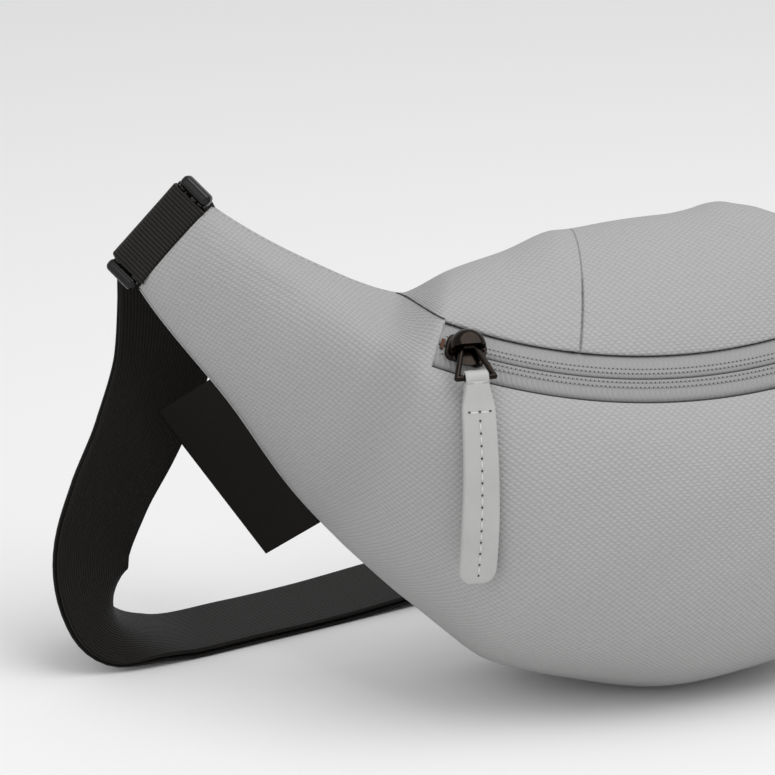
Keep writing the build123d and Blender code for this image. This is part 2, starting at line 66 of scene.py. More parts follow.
KEY = {
    "a": [P3, P3, P3, P3, (-50, 101), (-27, 96.5), (-26, 95.6)],
    "b": [(-101, 76), (-100, 78), (-96, 80), (-88, 86), (-66, 93), (-32, 87), (-26.4, 85)],
    "c": [(-91, -33), (-88, -26), (-70, 3), (-50, 19), (-31, 29), (-22, 52), (-27.6, 62.6)],
    "B": [(0, -3), (-2, 2), (-5, 10), (-8, 20), (-9, 29), (-11, 48.5), (-19.5, 61.3)],
    "d": [P4, P4, P4, P4, TIP, (-15.5, 104.8), (-20.3, 99.25)],
    "e": [(-52, 149), (-50, 147), (-49, 137), (-47, 126), TIP, (-15.5, 104.8), (-20.3, 99.25)],
    "f": [(-10, 163), (-10, 160), (-12, 146), (-15, 128), TIP, (-15.5, 104.8), (-20.3, 99.25)],
    "T": [(0, 138), (-2, 135), (-6, 127), (-11, 117), TIP, (-15.5, 104.8), (-20.3, 99.25)],
}


# the wing's rounded end: degrees past T_END, and how much of the thickness is left there
END_ROUND = ((0.06, 0.86), (0.11, 0.62), (0.14, 0.34), (0.15, 0.12))


def radial(t):
    """unit vector from the zip's axis out to the section turned t degrees"""
    a = math.radians(t)
    return np.array((math.sin(a), -math.cos(a) * CS, -math.cos(a) * SN))


def tangent(t):
    """unit vector along the zip at t degrees"""
    a = math.radians(t)
    return np.array((math.cos(a), math.sin(a) * CS, math.sin(a) * SN))


def M(p):
    """mm on the bag to metres in the frame"""
    p = np.asarray(p, float)
    q = p.copy()
    q[..., 1] += Y_SHIFT
    return q * 0.001


def hermite(x, xs, ys):
    n = len(xs)
    h = [xs[i + 1] - xs[i] for i in range(n - 1)]
    d = [(ys[i + 1] - ys[i]) / h[i] for i in range(n - 1)]
    m = [0.0] * n
    for i in range(1, n - 1):
        if d[i - 1] * d[i] > 0:
            m[i] = 3 * (h[i - 1] + h[i]) / ((2 * h[i] + h[i - 1]) / d[i - 1]
                                            + (h[i] + 2 * h[i - 1]) / d[i])
    m[-1] = d[-1]
    i = 0
    while i < n - 2 and x > xs[i + 1]:
        i += 1
    u = (x - xs[i]) / h[i]
    return ((2*u**3 - 3*u**2 + 1) * ys[i] + (u**3 - 2*u**2 + u) * h[i] * m[i]
            + (-2*u**3 + 3*u**2) * ys[i + 1] + (u**3 - u**2) * h[i] * m[i + 1])


# how much the crest stands above or below a level one, along the bag
CREST_T = [-31.2, -26, -20, -12, -5, 0, 5, 8.5, 12, 15, 19, 23, 26.2, 31.2]
CREST_G = [0, 0.8, -1.7, -2.8, -1.3, -0.5, 0, 1.2, 3.2, 3.7, 6.4, 6.6, 4.6, 0]


def sec(t):
    k = {n: [hermite(min(abs(t), T_END), ST, [p[i] for p in v]) for i in (0, 1)] for n, v in KEY.items()}
    a = abs(t)
    pk = 20 if t > 0 else 16
    g = 6.0 * math.sin(math.radians(90 * min(a / pk, 1))) * max(0, 1 - max(a - pk, 0) / (T_TIP - pk))
    k["c"][1] -= 0.8 * (g if t > 0 else -g)
    g = hermite(t, CREST_T, CREST_G) if a < T_TIP else 0.0
    k["e"][1] += g
    k["f"][1] += g
    k["T"][1] += 0.6 * g
    return k


def at(t, yz):
    """points (n, 2) of the section plane turned t degrees about the zip axis, to 3D"""
    yz = np.asarray(yz, float)
    dy, dz = yz[..., 0] - ZIP_Y, yz[..., 1] - 110.0
    rho, h = ZIP_R - (dy * CS + dz * SN), -dy * SN + dz * CS
    return OZ + rho[..., None] * radial(t) + h[..., None] * NZ


def bez(p, u):
    p = [np.asarray(q, float) for q in p]
    u = np.asarray(u)[:, None]
    return p[0] * (1-u)**3 + 3 * p[1] * u * (1-u)**2 + 3 * p[2] * u*u * (1-u) + p[3] * u**3


def back_pts(k, t):
    B, T = k["B"], (k["T"] if abs(t) < T_TIP else k["d"])
    v = (T[0] - B[0], T[1] - B[1])
    q = 3.0 * max(0, 1 - abs(t) / T_END)
    return [T, (T[0] - .33*v[0] + q, T[1] - .33*v[1]), (B[0] + .33*v[0] + q, B[1] + .33*v[1]), B]


# ------------------------------------------------------------------ mesh helpers
def grid_mesh(name, P, UV=None, closed=False, caps=False):
    """a mesh from an array of points (rows, columns, 3) in mm; closed joins the last column to the first"""
    r, c, _ = P.shape
    verts = M(P).reshape(-1, 3)
    faces = []
    cc = c if closed else c - 1
    for i in range(r - 1):
        for j in range(cc):
            j2 = (j + 1) % c
            faces.append((i*c + j, i*c + j2, (i+1)*c + j2, (i+1)*c + j))
    if caps:
        faces.append(tuple(range(c))[::-1])
        faces.append(tuple((r-1)*c + j for j in range(c)))
    me = bpy.data.meshes.new(name)
    me.from_pydata(verts.tolist(), [], faces)
    if UV is None:
        dv = np.zeros((r, c))
        dv[:, 1:] = np.cumsum(np.linalg.norm(np.diff(P, axis=1), axis=2), axis=1)
        du = np.zeros((r, c))
        du[1:, :] = np.cumsum(np.linalg.norm(np.diff(P, axis=0), axis=2), axis=0).mean(1)[:, None]
        UV = np.stack([du, dv], 2)
    flat = (UV.reshape(-1, 2) * 0.001).tolist()
    lay = me.uv_layers.new(name="UVMap")
    for loop in me.loops:
        lay.data[loop.index].uv = flat[loop.vertex_index]
    me.polygons.foreach_set("use_smooth", [True] * len(me.polygons))
    me.update()
    ob = bpy.data.objects.new(name, me)
    bpy.context.scene.collection.objects.link(ob)
    return ob


def from_bmesh(name, bm):
    me = bpy.data.meshes.new(name)
    bm.to_mesh(me)
    bm.free()
    me.polygons.foreach_set("use_smooth", [True] * len(me.polygons))
    ob = bpy.data.objects.new(name, me)
    bpy.context.scene.collection.objects.link(ob)
    return ob


def recalc(ob):
    bm = bmesh.new()
    bm.from_mesh(ob.data)
    bmesh.ops.recalc_face_normals(bm, faces=bm.faces)
    bm.to_mesh(ob.data)
    bm.free()


def mod(ob, kind, **kw):
    m = ob.modifiers.new(kind.title(), kind)
    for k, v in kw.items():
        setattr(m, k, v)
    return m


def finish_piece(ob, body, mat, slot, *nodes):
    ob.data.materials.clear()
    ob.data.materials.append(mat)
    if nodes:
        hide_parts(*nodes)
    if body:
        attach(ob, body)
    return ob


# ------------------------------------------------------------------ materials
class Nodes:
    """a short hand for building a node tree"""

    def __init__(self, name, base, rough, metal=0.0, spec=0.5, coat=0.0, coat_rough=0.1, sheen=0.0):
        self.m = bpy.data.materials.new(name)
        self.m.use_nodes = True
        self.t = self.m.node_tree
        self.b = self.t.nodes["Principled BSDF"]
        self.b.inputs["Base Color"].default_value = (*base, 1)
        self.b.inputs["Roughness"].default_value = rough
        self.b.inputs["Metallic"].default_value = metal
        self.b.inputs["Specular IOR Level"].default_value = spec
        self.b.inputs["Coat Weight"].default_value = coat
        self.b.inputs["Coat Roughness"].default_value = coat_rough
        self.b.inputs["Sheen Weight"].default_value = sheen
        self.b.inputs["Sheen Roughness"].default_value = 0.5
        self.base = base

    def n(self, kind, **kw):
        q = self.t.nodes.new(kind)
        for k, v in kw.items():
            if k in q.inputs.keys():
                q.inputs[k].default_value = v
            else:
                setattr(q, k, v)
        return q

    def link(self, a, b):
        self.t.links.new(a, b)

    def math(self, op, a, b=None, clamp=False):
        q = self.t.nodes.new("ShaderNodeMath")
        q.operation, q.use_clamp = op, clamp
        for i, v in enumerate((a, b)):
            if v is None:
                continue
            if isinstance(v, (int, float)):
                q.inputs[i].default_value = v
            else:
                self.link(v, q.inputs[i])
        return q.outputs[0]

    def obj(self):
        return self.n("ShaderNodeTexCoord").outputs["Object"]

    def uv(self):
        s = self.n("ShaderNodeSeparateXYZ")
        self.link(self.n("ShaderNodeTexCoord").outputs["UV"], s.inputs[0])
        return s.outputs[0], s.outputs[1]

    def noise(self, scale, detail=3.0, rough=0.5, vec=None):
        q = self.n("ShaderNodeTexNoise")
        q.inputs["Scale"].default_value = scale
        q.inputs["Detail"].default_value = detail
        q.inputs["Roughness"].default_value = rough
        self.link(vec if vec is not None else self.obj(), q.inputs["Vector"])
        return q.outputs["Fac"]

    def ramp(self, fac, lo, hi, p0=0.0, p1=1.0):
        q = self.n("ShaderNodeValToRGB")
        e = q.color_ramp.elements
        e[0].position, e[1].position = p0, p1
        e[0].color, e[1].color = (*lo, 1), (*hi, 1)
        self.link(fac, q.inputs[0])
        return q.outputs[0]

    def colour(self, fac, lo, hi, p0=0.0, p1=1.0):
        self.link(self.ramp(fac, lo, hi, p0, p1), self.b.inputs["Base Color"])

    def rough(self, fac, lo, hi):
        q = self.n("ShaderNodeMapRange")
        q.inputs["To Min"].default_value, q.inputs["To Max"].default_value = lo, hi
        self.link(fac, q.inputs["Value"])
        self.link(q.outputs[0], self.b.inputs["Roughness"])

    def bump(self, height, dist, strength=1.0, after=None):
        q = self.n("ShaderNodeBump")
        q.inputs["Distance"].default_value = dist
        q.inputs["Strength"].default_value = strength
        self.link(height, q.inputs["Height"])
        if after is not None:
            self.link(after, q.inputs["Normal"])
        self.link(q.outputs[0], self.b.inputs["Normal"])
        return q.outputs[0]


def tint(c, k):
    return tuple(min(1.0, x * k) for x in c)


def woven(name, base, pitch, depth, rough=0.8, contrast=0.10, mottling=0.05, spec=0.3, sheen=0.0):
    """plain weave on the UVs, which are lengths along the cloth in metres; pitch is (warp, weft) in mm"""
    w = Nodes(name, base, rough, spec=spec, sheen=sheen)
    u, v = w.uv()
    pu, pv = pitch if isinstance(pitch, tuple) else (pitch, pitch)
    wob, wob2 = w.noise(300.0, 2.0), w.noise(340.0, 2.0, vec=w.n("ShaderNodeTexCoord").outputs["Generated"])
    uu = w.math("ADD", w.math("MULTIPLY", u, math.pi / (pu * 0.001)), w.math("MULTIPLY", wob, 1.3))
    vv = w.math("ADD", w.math("MULTIPLY", v, math.pi / (pv * 0.001)), w.math("MULTIPLY", wob2, 0.7))
    a, b = w.math("SINE", uu), w.math("SINE", vv)
    prod = w.math("MULTIPLY", a, b)
    cell = w.math("MULTIPLY", w.math("ADD", prod, 1.0), 0.5)           # 1 where the weft lies on top
    ridge = w.math("ABSOLUTE", b)
    h = w.math("ADD", w.math("MULTIPLY", cell, 0.75), w.math("MULTIPLY", ridge, 0.35))
    slub = w.noise(700.0, 3.0, 0.6)
    h = w.math("ADD", h, w.math("MULTIPLY", w.math("MULTIPLY", slub, cell), 0.5))
    cloud = w.noise(14.0, 3.0)
    f = w.math("ADD", w.math("MULTIPLY", cell, 0.62), w.math("MULTIPLY", slub, 0.38))
    f = w.math("ADD", w.math("MULTIPLY", f, 1 - mottling * 4), w.math("MULTIPLY", cloud, mottling * 4))
    w.colour(f, tint(base, 1 - contrast), tint(base, 1 + contrast * 0.7), 0.2, 0.8)
    w.rough(slub, rough - 0.07, min(1.0, rough + 0.07))
    w.bump(h, depth * 0.001, 0.85)
    return w.m


def ribbed(name, base, pitch, depth, rough=0.55, spec=0.22, rib_highlight=2.6):
    """webbing: ribs along its length, each of fine crossing threads"""
    w = Nodes(name, base, rough, spec=spec)
    u, v = w.uv()
    wob = w.noise(120.0, 2.0)
    rib = w.math("SINE", w.math("ADD", w.math("MULTIPLY", v, 2 * math.pi / (pitch * 0.001)),
                                w.math("MULTIPLY", wob, 1.2)))
    rib = w.math("MULTIPLY", w.math("ADD", rib, 1.0), 0.5)
    fine = w.math("SINE", w.math("ADD", w.math("MULTIPLY", u, 2 * math.pi / 0.0010), w.math("MULTIPLY", rib, 2.8)))
    fine = w.math("MULTIPLY", w.math("ADD", fine, 1.0), 0.5)
    fuzz = w.noise(2400.0, 2.0)
    h = w.math("ADD", w.math("ADD", rib, w.math("MULTIPLY", fine, 0.3)), w.math("MULTIPLY", fuzz, 0.25))
    # the colour follows the ribs: painted shade in the grooves between them, painted highlight on their tops
    f = w.math("ADD", w.math("MULTIPLY", rib, 0.7), w.math("MULTIPLY", w.noise(900.0, 3.0), 0.3))
    w.colour(f, tint(base, 0.35), tint(base, rib_highlight), 0.15, 0.95)
    w.rough(fuzz, rough - 0.08, rough + 0.14)
    w.bump(h, depth * 0.001, 0.9)
    return w.m


def leather(name, base):
    w = Nodes(name, base, 0.5, spec=0.4, coat=0.08, coat_rough=0.35)
    vor = w.n("ShaderNodeTexVoronoi", feature="SMOOTH_F1")
    vor.inputs["Scale"].default_value = 1500.0
    w.link(w.obj(), vor.inputs["Vector"])
    fine = w.noise(3200.0, 2.0)
    h = w.math("ADD", vor.outputs["Distance"], w.math("MULTIPLY", fine, 0.4))
    cloud = w.noise(70.0, 4.0, 0.6)
    w.colour(cloud, tint(base, 0.93), tint(base, 1.05), 0.3, 0.75)
    w.rough(w.noise(240.0, 3.0), 0.42, 0.6)
    w.bump(h, 0.00012, 0.55)
    return w.m


def moulded(name, base, rough):
    """moulded plastic: fine orange peel, faint scuffs"""
    w = Nodes(name, base, rough, spec=0.32)
    peel = w.noise(900.0, 2.0)
    scuff = w.noise(210.0, 5.0, 0.7)
    w.colour(scuff, tint(base, 0.8), tint(base, 1.35), 0.35, 0.8)
    w.rough(scuff, rough - 0.06, rough + 0.14)
    w.bump(peel, 0.00004, 0.5)
    return w.m


def metal(name, base, rough):
    w = Nodes(name, base, rough, metal=0.9, spec=0.3, coat=0.16, coat_rough=0.12)
    cloud = w.noise(300.0, 4.0, 0.6)
    w.colour(cloud, tint(base, 0.7), tint(base, 1.6), 0.3, 0.85)
    w.rough(w.noise(700.0, 4.0, 0.7), rough - 0.08, rough + 0.12)
    w.bump(w.noise(1500.0, 2.0), 0.00003, 0.4)
    return w.m


def knit(name, base):
    """spacer mesh: rows of small open cells"""
    w = Nodes(name, base, 0.85, spec=0.25, sheen=0.2)
    u, v = w.uv()
    c = w.n("ShaderNodeCombineXYZ")
    w.link(u, c.inputs[0])
    w.link(v, c.inputs[1])
    vor = w.n("ShaderNodeTexVoronoi")
    vor.inputs["Scale"].default_value = 520.0
    vor.inputs["Randomness"].default_value = 0.12
    w.link(c.outputs[0], vor.inputs["Vector"])
    d = vor.outputs["Distance"]
    # painted shade: the open cells, the pits of the bump below, are darker
    w.colour(d, tint(base, 0.35), tint(base, 1.15), 0.12, 0.42)
    h = w.math("ADD", w.math("MINIMUM", w.math("MULTIPLY", d, 2.2), 1.0), w.math("MULTIPLY", w.noise(3000.0), 0.25))
    w.bump(h, 0.0006, 0.9)
    return w.m


GREY = (0.385, 0.386, 0.384)
WEAVE = (1.25, 1.07)
m_canvas = woven("canvas", GREY, WEAVE, 0.34, contrast=0.17, mottling=0.035)
m_back = woven("canvas_back", (0.35, 0.351, 0.35), WEAVE, 0.34, contrast=0.17)
m_lining = woven("lining", (0.07, 0.07, 0.073), 0.35, 0.06, rough=0.55, spec=0.4)
m_tape = woven("tape", (0.285, 0.286, 0.285), (0.9, 4.0), 0.22, rough=0.5, contrast=0.08, spec=0.4)
m_thread = woven("thread", (0.58, 0.575, 0.56), 0.3, 0.05, rough=0.6, contrast=0.15)
# painted shade: dark dots for the needle holes in the leather pull
m_hole_shade = woven("needle_hole_shade", (0.075, 0.068, 0.06), 0.3, 0.03, rough=0.9, contrast=0.2, spec=0.05)
# painted shade with thread: dark for the thread and the shade in the seams' ditches
m_ditch = woven("ditch_thread_and_painted_shade", (0.055, 0.055, 0.055), 0.4, 0.08, rough=0.9, contrast=0.4, spec=0.05)
# painted shade: dark dots for the zip tape's needle holes
m_zhole_shade = woven("zip_hole_shade", (0.085, 0.085, 0.084), 0.3, 0.03, rough=0.9, contrast=0.2, spec=0.05)
m_web = ribbed("webbing", (0.0062, 0.0052, 0.0046), 1.35, 0.45, rib_highlight=4.0, spec=0.2)
m_web_fine = ribbed("webbing_fine", (0.0052, 0.0042, 0.0036), 1.2, 0.20, rib_highlight=2.2, spec=0.16)
m_tag = woven("tag", (0.0060, 0.0050, 0.0042), 0.45, 0.06, rough=0.65, spec=0.14, contrast=0.3)
m_leather = leather("leather", (0.43, 0.43, 0.425))
m_hard = moulded("hardware", (0.0032, 0.0027, 0.0023), 0.17)
m_metal = metal("gunmetal", (0.0085, 0.0050, 0.0028), 0.2)
m_stop = metal("stop", (0.03, 0.011, 0.005), 0.35)
m_coil = moulded("coil", (0.13, 0.13, 0.13), 0.35)
m_pad = knit("pad_mesh", (0.10, 0.10, 0.103))
m_label = woven("hem", (0.010, 0.009, 0.008), 0.4, 0.08, rough=0.6)


# ------------------------------------------------------------------ canvas shell
def smooth_rows(pl, sigma):
    """rounds a section polyline (n, 2) over about sigma mm, with both ends held"""
    if sigma < 0.3:
        return pl
    s = np.concatenate([[0], np.cumsum(np.linalg.norm(np.diff(pl, axis=0), axis=1))])
    out = pl.copy()
    end = np.minimum(s, s[-1] - s)
    for i in range(1, len(pl) - 1):
        sg = min(sigma, end[i] / 2.2 + 1e-6)
        w = np.exp(-0.5 * ((s - s[i]) / sg) ** 2)
        w *= np.gradient(s)
        out[i] = (pl * w[:, None]).sum(0) / w.sum()
    return out


def ripple(P, edge):
    """height of the cloth's small soft unevenness; edge is 0 at the seams"""
    x, y, z = P[..., 0], P[..., 1], P[..., 2]
    r = (0.55 * np.sin(x / 17.0 + z / 29.0 + 1.3) * np.sin(z / 23.0 - x / 41.0 + 0.4)
         + 0.35 * np.sin(x / 9.5 - z / 14.0 + 2.0) * np.sin(z / 11.0 + 0.9))
    return r * edge


def normals(P):
    du = np.gradient(P, axis=0)
    dv = np.gradient(P, axis=1)
    n = np.cross(du, dv)
    L = np.linalg.norm(n, axis=2, keepdims=True)
    return n / np.maximum(L, 1e-9)


def arc_uv(P, mid):
    """lengths along the cloth from the middle row of angles, and from its first column"""
    r, c, _ = P.shape
    du = np.zeros((r, c))
    step = np.linalg.norm(np.diff(P, axis=0), axis=2)
    du[1:] = np.cumsum(step, axis=0)
    du -= du[mid][None, :]
    dv = np.zeros((r, c))
    dv[:, 1:] = np.cumsum(np.linalg.norm(np.diff(P, axis=1), axis=2), axis=1)
    dv -= dv[:, -1:]
    return np.stack([du, dv], 2)


def flat_uv(P, ts, r0, first=0, sign=-1):
    """where a point lies on the flat pattern piece, a sector; its radius runs along the cloth from column first"""
    step = np.linalg.norm(np.diff(P, axis=1), axis=2)
    run = np.concatenate([np.zeros((len(P), 1)), np.cumsum(step, axis=1)], axis=1)
    r = r0 + sign * (run - run[:, [first]])
    a = np.radians(np.asarray(ts, float))[:, None]
    return np.stack([r * np.sin(a), -r * np.cos(a)], 2)


N1, N2 = 64, 18
uf = np.linspace(0, 1, N1 + 1)
ua = np.linspace(0, 1, N2 + 1)[1:]


def front_section(t):
    """outer line of the front: bottom seam to the lower zip seam, then in the wing on to the top seam"""
    k = sec(t)
    low = bez([k["B"], k["c"], k["b"], k["a"]], uf)
    if abs(t) < T_ZIP - 1e-6:
        return low, None
    a, d = np.array(k["a"]), np.array(k["d"])
    up = a + (d - a) * ua[:, None]
    line = np.vstack([low, up])
    sg = 7.0 * min(1, max(0, (abs(t) - T_ZIP - 0.2) / 5.0)) ** 0.8
    line = smooth_rows(line, sg)
    return line[: N1 + 1], line[N1 + 1:]


def shrink(s, k, keep):
    """draws the section line s in on the middle line of section k, leaving the share keep of its distance"""
    B, T = np.array(k["B"]), np.array(k["d"])
    ln = (T - B) / np.linalg.norm(T - B)
    m = B + np.clip((s - B) @ ln, 0, np.linalg.norm(T - B))[:, None] * ln + np.array((-1.6, 0.0))
    return m + (s - m) * keep


def end_rows(t_end):
    """rounds the front over at the wing's end"""
    side = 1 if t_end > 0 else -1
    s, k = np.vstack(front_section(t_end)), sec(t_end)
    return [at(t_end + side * add, shrink(s, k, keep)) for add, keep in END_ROUND]


ts_mid = np.linspace(-T_ZIP, T_ZIP, 97)
ts_wing = np.concatenate([np.linspace(T_ZIP, 31.2, 15)[1:], np.linspace(31.2, T_END, 44)[1:]])
ts_all = np.concatenate([-ts_wing[::-1], ts_mid, ts_wing])

LOW = np.array([at(t, front_section(t)[0]) for t in ts_all])        # (angles, N1+1, 3)


def seam_fall(n, width):
    d = np.minimum(np.arange(n), np.arange(n)[::-1]) / width
    return np.clip(d, 0, 1) ** 2 * (3 - 2 * np.clip(d, 0, 1))


edge = seam_fall(LOW.shape[0], 8)[:, None] * seam_fall(LOW.shape[1], 9)[None, :]
NL = normals(LOW)
if NL[LOW.shape[0] // 2, N1 // 2, 1] > 0:
    NL = -NL
LOW = LOW + NL * ripple(LOW, edge)[..., None]


# the two parts of the front share their points, so they are one mesh: a wide grid with a notch for the zip
bm = bmesh.new()
uvl = bm.loops.layers.uv.new("UVMap")
R_SEAM = ZIP_R + 9
UVL = flat_uv(LOW, ts_all, R_SEAM, -1)
vid, uvs = {}, {}


def add_v(key, p, uv):
    v = bm.verts.new(M(p))
    vid[key] = v
    uvs[v] = uv
    return v


nA = len(ts_all)
for i in range(nA):
    for j in range(N1 + 1):
        add_v((i, j), LOW[i, j], UVL[i, j] * 0.001)
for i, t in enumerate(ts_all):
    if abs(t) < T_ZIP - 1e-6:
        continue
    up = at(t, front_section(t)[1])
    dv = np.cumsum(np.linalg.norm(np.diff(np.vstack([LOW[i, -1:], up]), axis=0), axis=1))
    for j in range(N2):
        q = (R_SEAM - dv[j]) * 0.001
        add_v((i, N1 + 1 + j), up[j], (q * math.sin(math.radians(t)), -q * math.cos(math.radians(t))))
# rounded end of each wing
for end, i0, side in ((-T_END, 0, -1), (T_END, nA - 1, 1)):
    rows = end_rows(end)
    for q, row in enumerate(rows):
        ii = (i0, "e", q)
        for j in range(N1 + 1 + N2):
            base = uvs[vid[(i0, j)]]
            add_v((ii, j), row[j], (base[0] + side * 0.001 * (q + 1), base[1]))


def quad(*keys):
    vs = [vid[k] for k in keys]
    if len(set(vs)) == 4:
        f = bm.faces.new(vs)
        f.smooth = True
        for l in f.loops:
            l[uvl].uv = uvs[l.vert]


for i in range(nA - 1):
    for j in range(N1 + N2):
        ks = ((i, j), (i, j + 1), (i + 1, j + 1), (i + 1, j))
        if all(k in vid for k in ks):
            quad(*ks)
for i0 in (0, nA - 1):
    chain = [i0] + [(i0, "e", q) for q in range(4)]
    for a_, b_ in zip(chain, chain[1:]):
        for j in range(N1 + N2):
            quad((a_, j), (a_, j + 1), (b_, j + 1), (b_, j))
# turned edge round the zip notch: goes over and in
iL = int(np.argmin(abs(ts_all + T_ZIP)))
iR = int(np.argmin(abs(ts_all - T_ZIP)))
edge_keys = ([((iL, j), "L") for j in range(N1 + N2, N1, -1)] + [((i, N1), "B") for i in range(iL, iR + 1)]
             + [((iR, j), "R") for j in range(N1 + 1, N1 + N2 + 1)])


def lip_dirs(kind, t):
    """the way in from an edge of the zip notch: bottom, left or right"""
    return {"B": -radial(t), "L": tangent(t), "R": -tangent(t)}[kind]


prev = None
for key, kind in edge_keys:
    p0 = np.array(vid[key].co) * 1000 - np.array((0, Y_SHIFT, 0))
    inn = lip_dirs(kind, ts_all[key[0]])
    if key in ((iL, N1), (iR, N1)):
        inn = lip_dirs("B", ts_all[key[0]]) + lip_dirs("L" if key[0] == iL else "R", ts_all[key[0]])
        inn /= np.linalg.norm(inn)
    base = uvs[vid[key]]
    col = [key]
    for q, (a_, h_) in enumerate(((0.35, -0.25), (0.55, -0.75), (0.35, -1.35), (-0.3, -1.75))):
        kk = (key, "l", q)
        add_v(kk, p0 + inn * a_ + NZ * h_, (base[0], base[1] + 0.0004 * (q + 1)))
        col.append(kk)
    if prev:
        for q in range(4):
            quad(prev[q], col[q], col[q + 1], prev[q + 1])
    prev = col
bmesh.ops.recalc_face_normals(bm, faces=bm.faces)
canvas_front = from_bmesh("canvas_front", bm)
finish_piece(canvas_front, "bag", m_canvas, "canvas",
             *[n for n in ("front_panel", "wing_left", "wing_right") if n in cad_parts])

# top panel, with a dart on each side of the middle
DARTS = ((-11.7, 1.2), (21.5, -1.2))            # angle at the zip, and how much it turns in toward the crest
DART_REACH = 8.0                                # degrees over which a dart turns the cloth beside it
DART_END, DART_FADE = 0.35, 0.12                # where it ends on the way to the back seam, and how softly
NEAR = np.array([0, .05, .11, .18, .28, .42, .62, .9])
TT = np.unique(np.round(np.concatenate([np.linspace(-T_TIP, T_TIP, 165)]
                                       + [c + s_ * NEAR for c, _ in DARTS for s_ in (-1, 1)]), 4))
NU = 96
ut = np.linspace(0, 1, NU + 1)
rows = []
for t in TT:
    tw = np.full(NU + 1, t)
    for c, turn in DARTS:
        tw += turn * max(0.0, 1 - abs(t - c) / DART_REACH) ** 1.5 * ut
    rows.append(np.array([at(q, bez([sec(q)[n] for n in "defT"], [w_])[0]) for q, w_ in zip(tw, ut)]))
TOP = np.array(rows)
NT = normals(TOP)
if NT[90, NU // 2, 2] < 0:
    NT = -NT
edge = seam_fall(len(TT), 12)[:, None] * seam_fall(NU + 1, 14)[None, :]
TOP = TOP + NT * ripple(TOP, edge)[..., None] * 0.8
for i, t in enumerate(TT):
    d = min(abs(t - c) for c, _ in DARTS)
    fall = np.clip((ut + 0.05) / 0.06, 0, 1) * np.clip((DART_END - ut) / DART_FADE, 0, 1)
    pucker = 1 + 0.35 * np.sin(ut * 2 * math.pi * 21 + 0.7) + 0.2 * np.sin(ut * 2 * math.pi * 8.3)
    groove = (1.15 + 0.45 * np.sin(ut * 2 * math.pi * 40)) * math.exp(-(d / 0.10) ** 2)
    g = groove - 0.34 * math.exp(-((d - 0.75) / 0.55) ** 2) * pucker
    TOP[i] -= NT[i] * (g * fall)[:, None]
lip = []
for i, t in enumerate(TT):
    er = radial(t)
    p0 = TOP[i, 0]
    f = min(1, max(0, (T_TIP - abs(t)) / 4))
    lip.append([p0 + er * x * f + NZ * z for x, z in ((-0.3, -1.75), (0.35, -1.35), (0.55, -0.75), (0.35, -0.25))])
TOPL = np.concatenate([np.array(lip), TOP], axis=1)
canvas_top = grid_mesh("canvas_top", TOPL, flat_uv(TOPL, TT, ZIP_R - 9, 4))
recalc(canvas_top)
finish_piece(canvas_top, "bag", m_canvas, "canvas", "top_panel")

# back panel
NB = 30
ub = np.linspace(0, 1, NB + 1)
rows = []
ts_back = [-T_END - a for a, _ in END_ROUND[::-1]] + list(ts_all) + [T_END + a for a, _ in END_ROUND]
keeps = [q for _, q in END_ROUND[::-1]] + [None] * len(ts_all) + [q for _, q in END_ROUND]
for t, kept in zip(ts_back, keeps):
    tc = max(-T_END, min(T_END, t))
    k = sec(tc)
    s = bez(back_pts(k, tc), ub)
    rows.append(at(t, s if kept is None else shrink(s, k, kept)))
BACK = np.array(rows)
canvas_back = grid_mesh("canvas_back", BACK, flat_uv(BACK, ts_back, 110, -1))
recalc(canvas_back)
finish_piece(canvas_back, "bag", m_back, "canvas_back", "back_panel")


def tube(name, pts, r, sides=8, flat=1.0):
    """a closed cord of radius r along points in mm"""
    P = np.asarray(pts, float)
    d = np.gradient(P, axis=0)
    d /= np.linalg.norm(d, axis=1, keepdims=True)
    up = np.array((0.13, 0.21, 0.97))
    ring = []
    for p, g in zip(P, d):
        a = np.cross(g, up)
        a /= np.linalg.norm(a)
        b = np.cross(a, g)
        ring.append([p + a * r * math.cos(w) + b * r * flat * math.sin(w)
                     for w in np.linspace(0, 2 * math.pi, sides, endpoint=False)])
    return grid_mesh(name, np.array(ring), closed=True, caps=True)


# piping-like seam ridges where the panels meet
bot = [at(t, sec(t)["B"]) for t in ts_all]
top = [at(t, sec(t)["T"] if abs(t) < T_TIP else sec(t)["d"]) for t in ts_all]
for nm, line in (("seam_bottom", bot), ("seam_top", top)):
    ob = tube(nm, np.array(line) + np.array((0, 0.2, 0.15 if nm == "seam_bottom" else -0.5)), 0.75)
    finish_piece(ob, "bag", m_canvas, "canvas")


# ------------------------------------------------------------------ zip
def zip_pt(t, r, h):
    """a point at angle t, r mm outside the zip line and h mm above its plane"""
    return OZ + radial(t) * (ZIP_R + r) + NZ * h


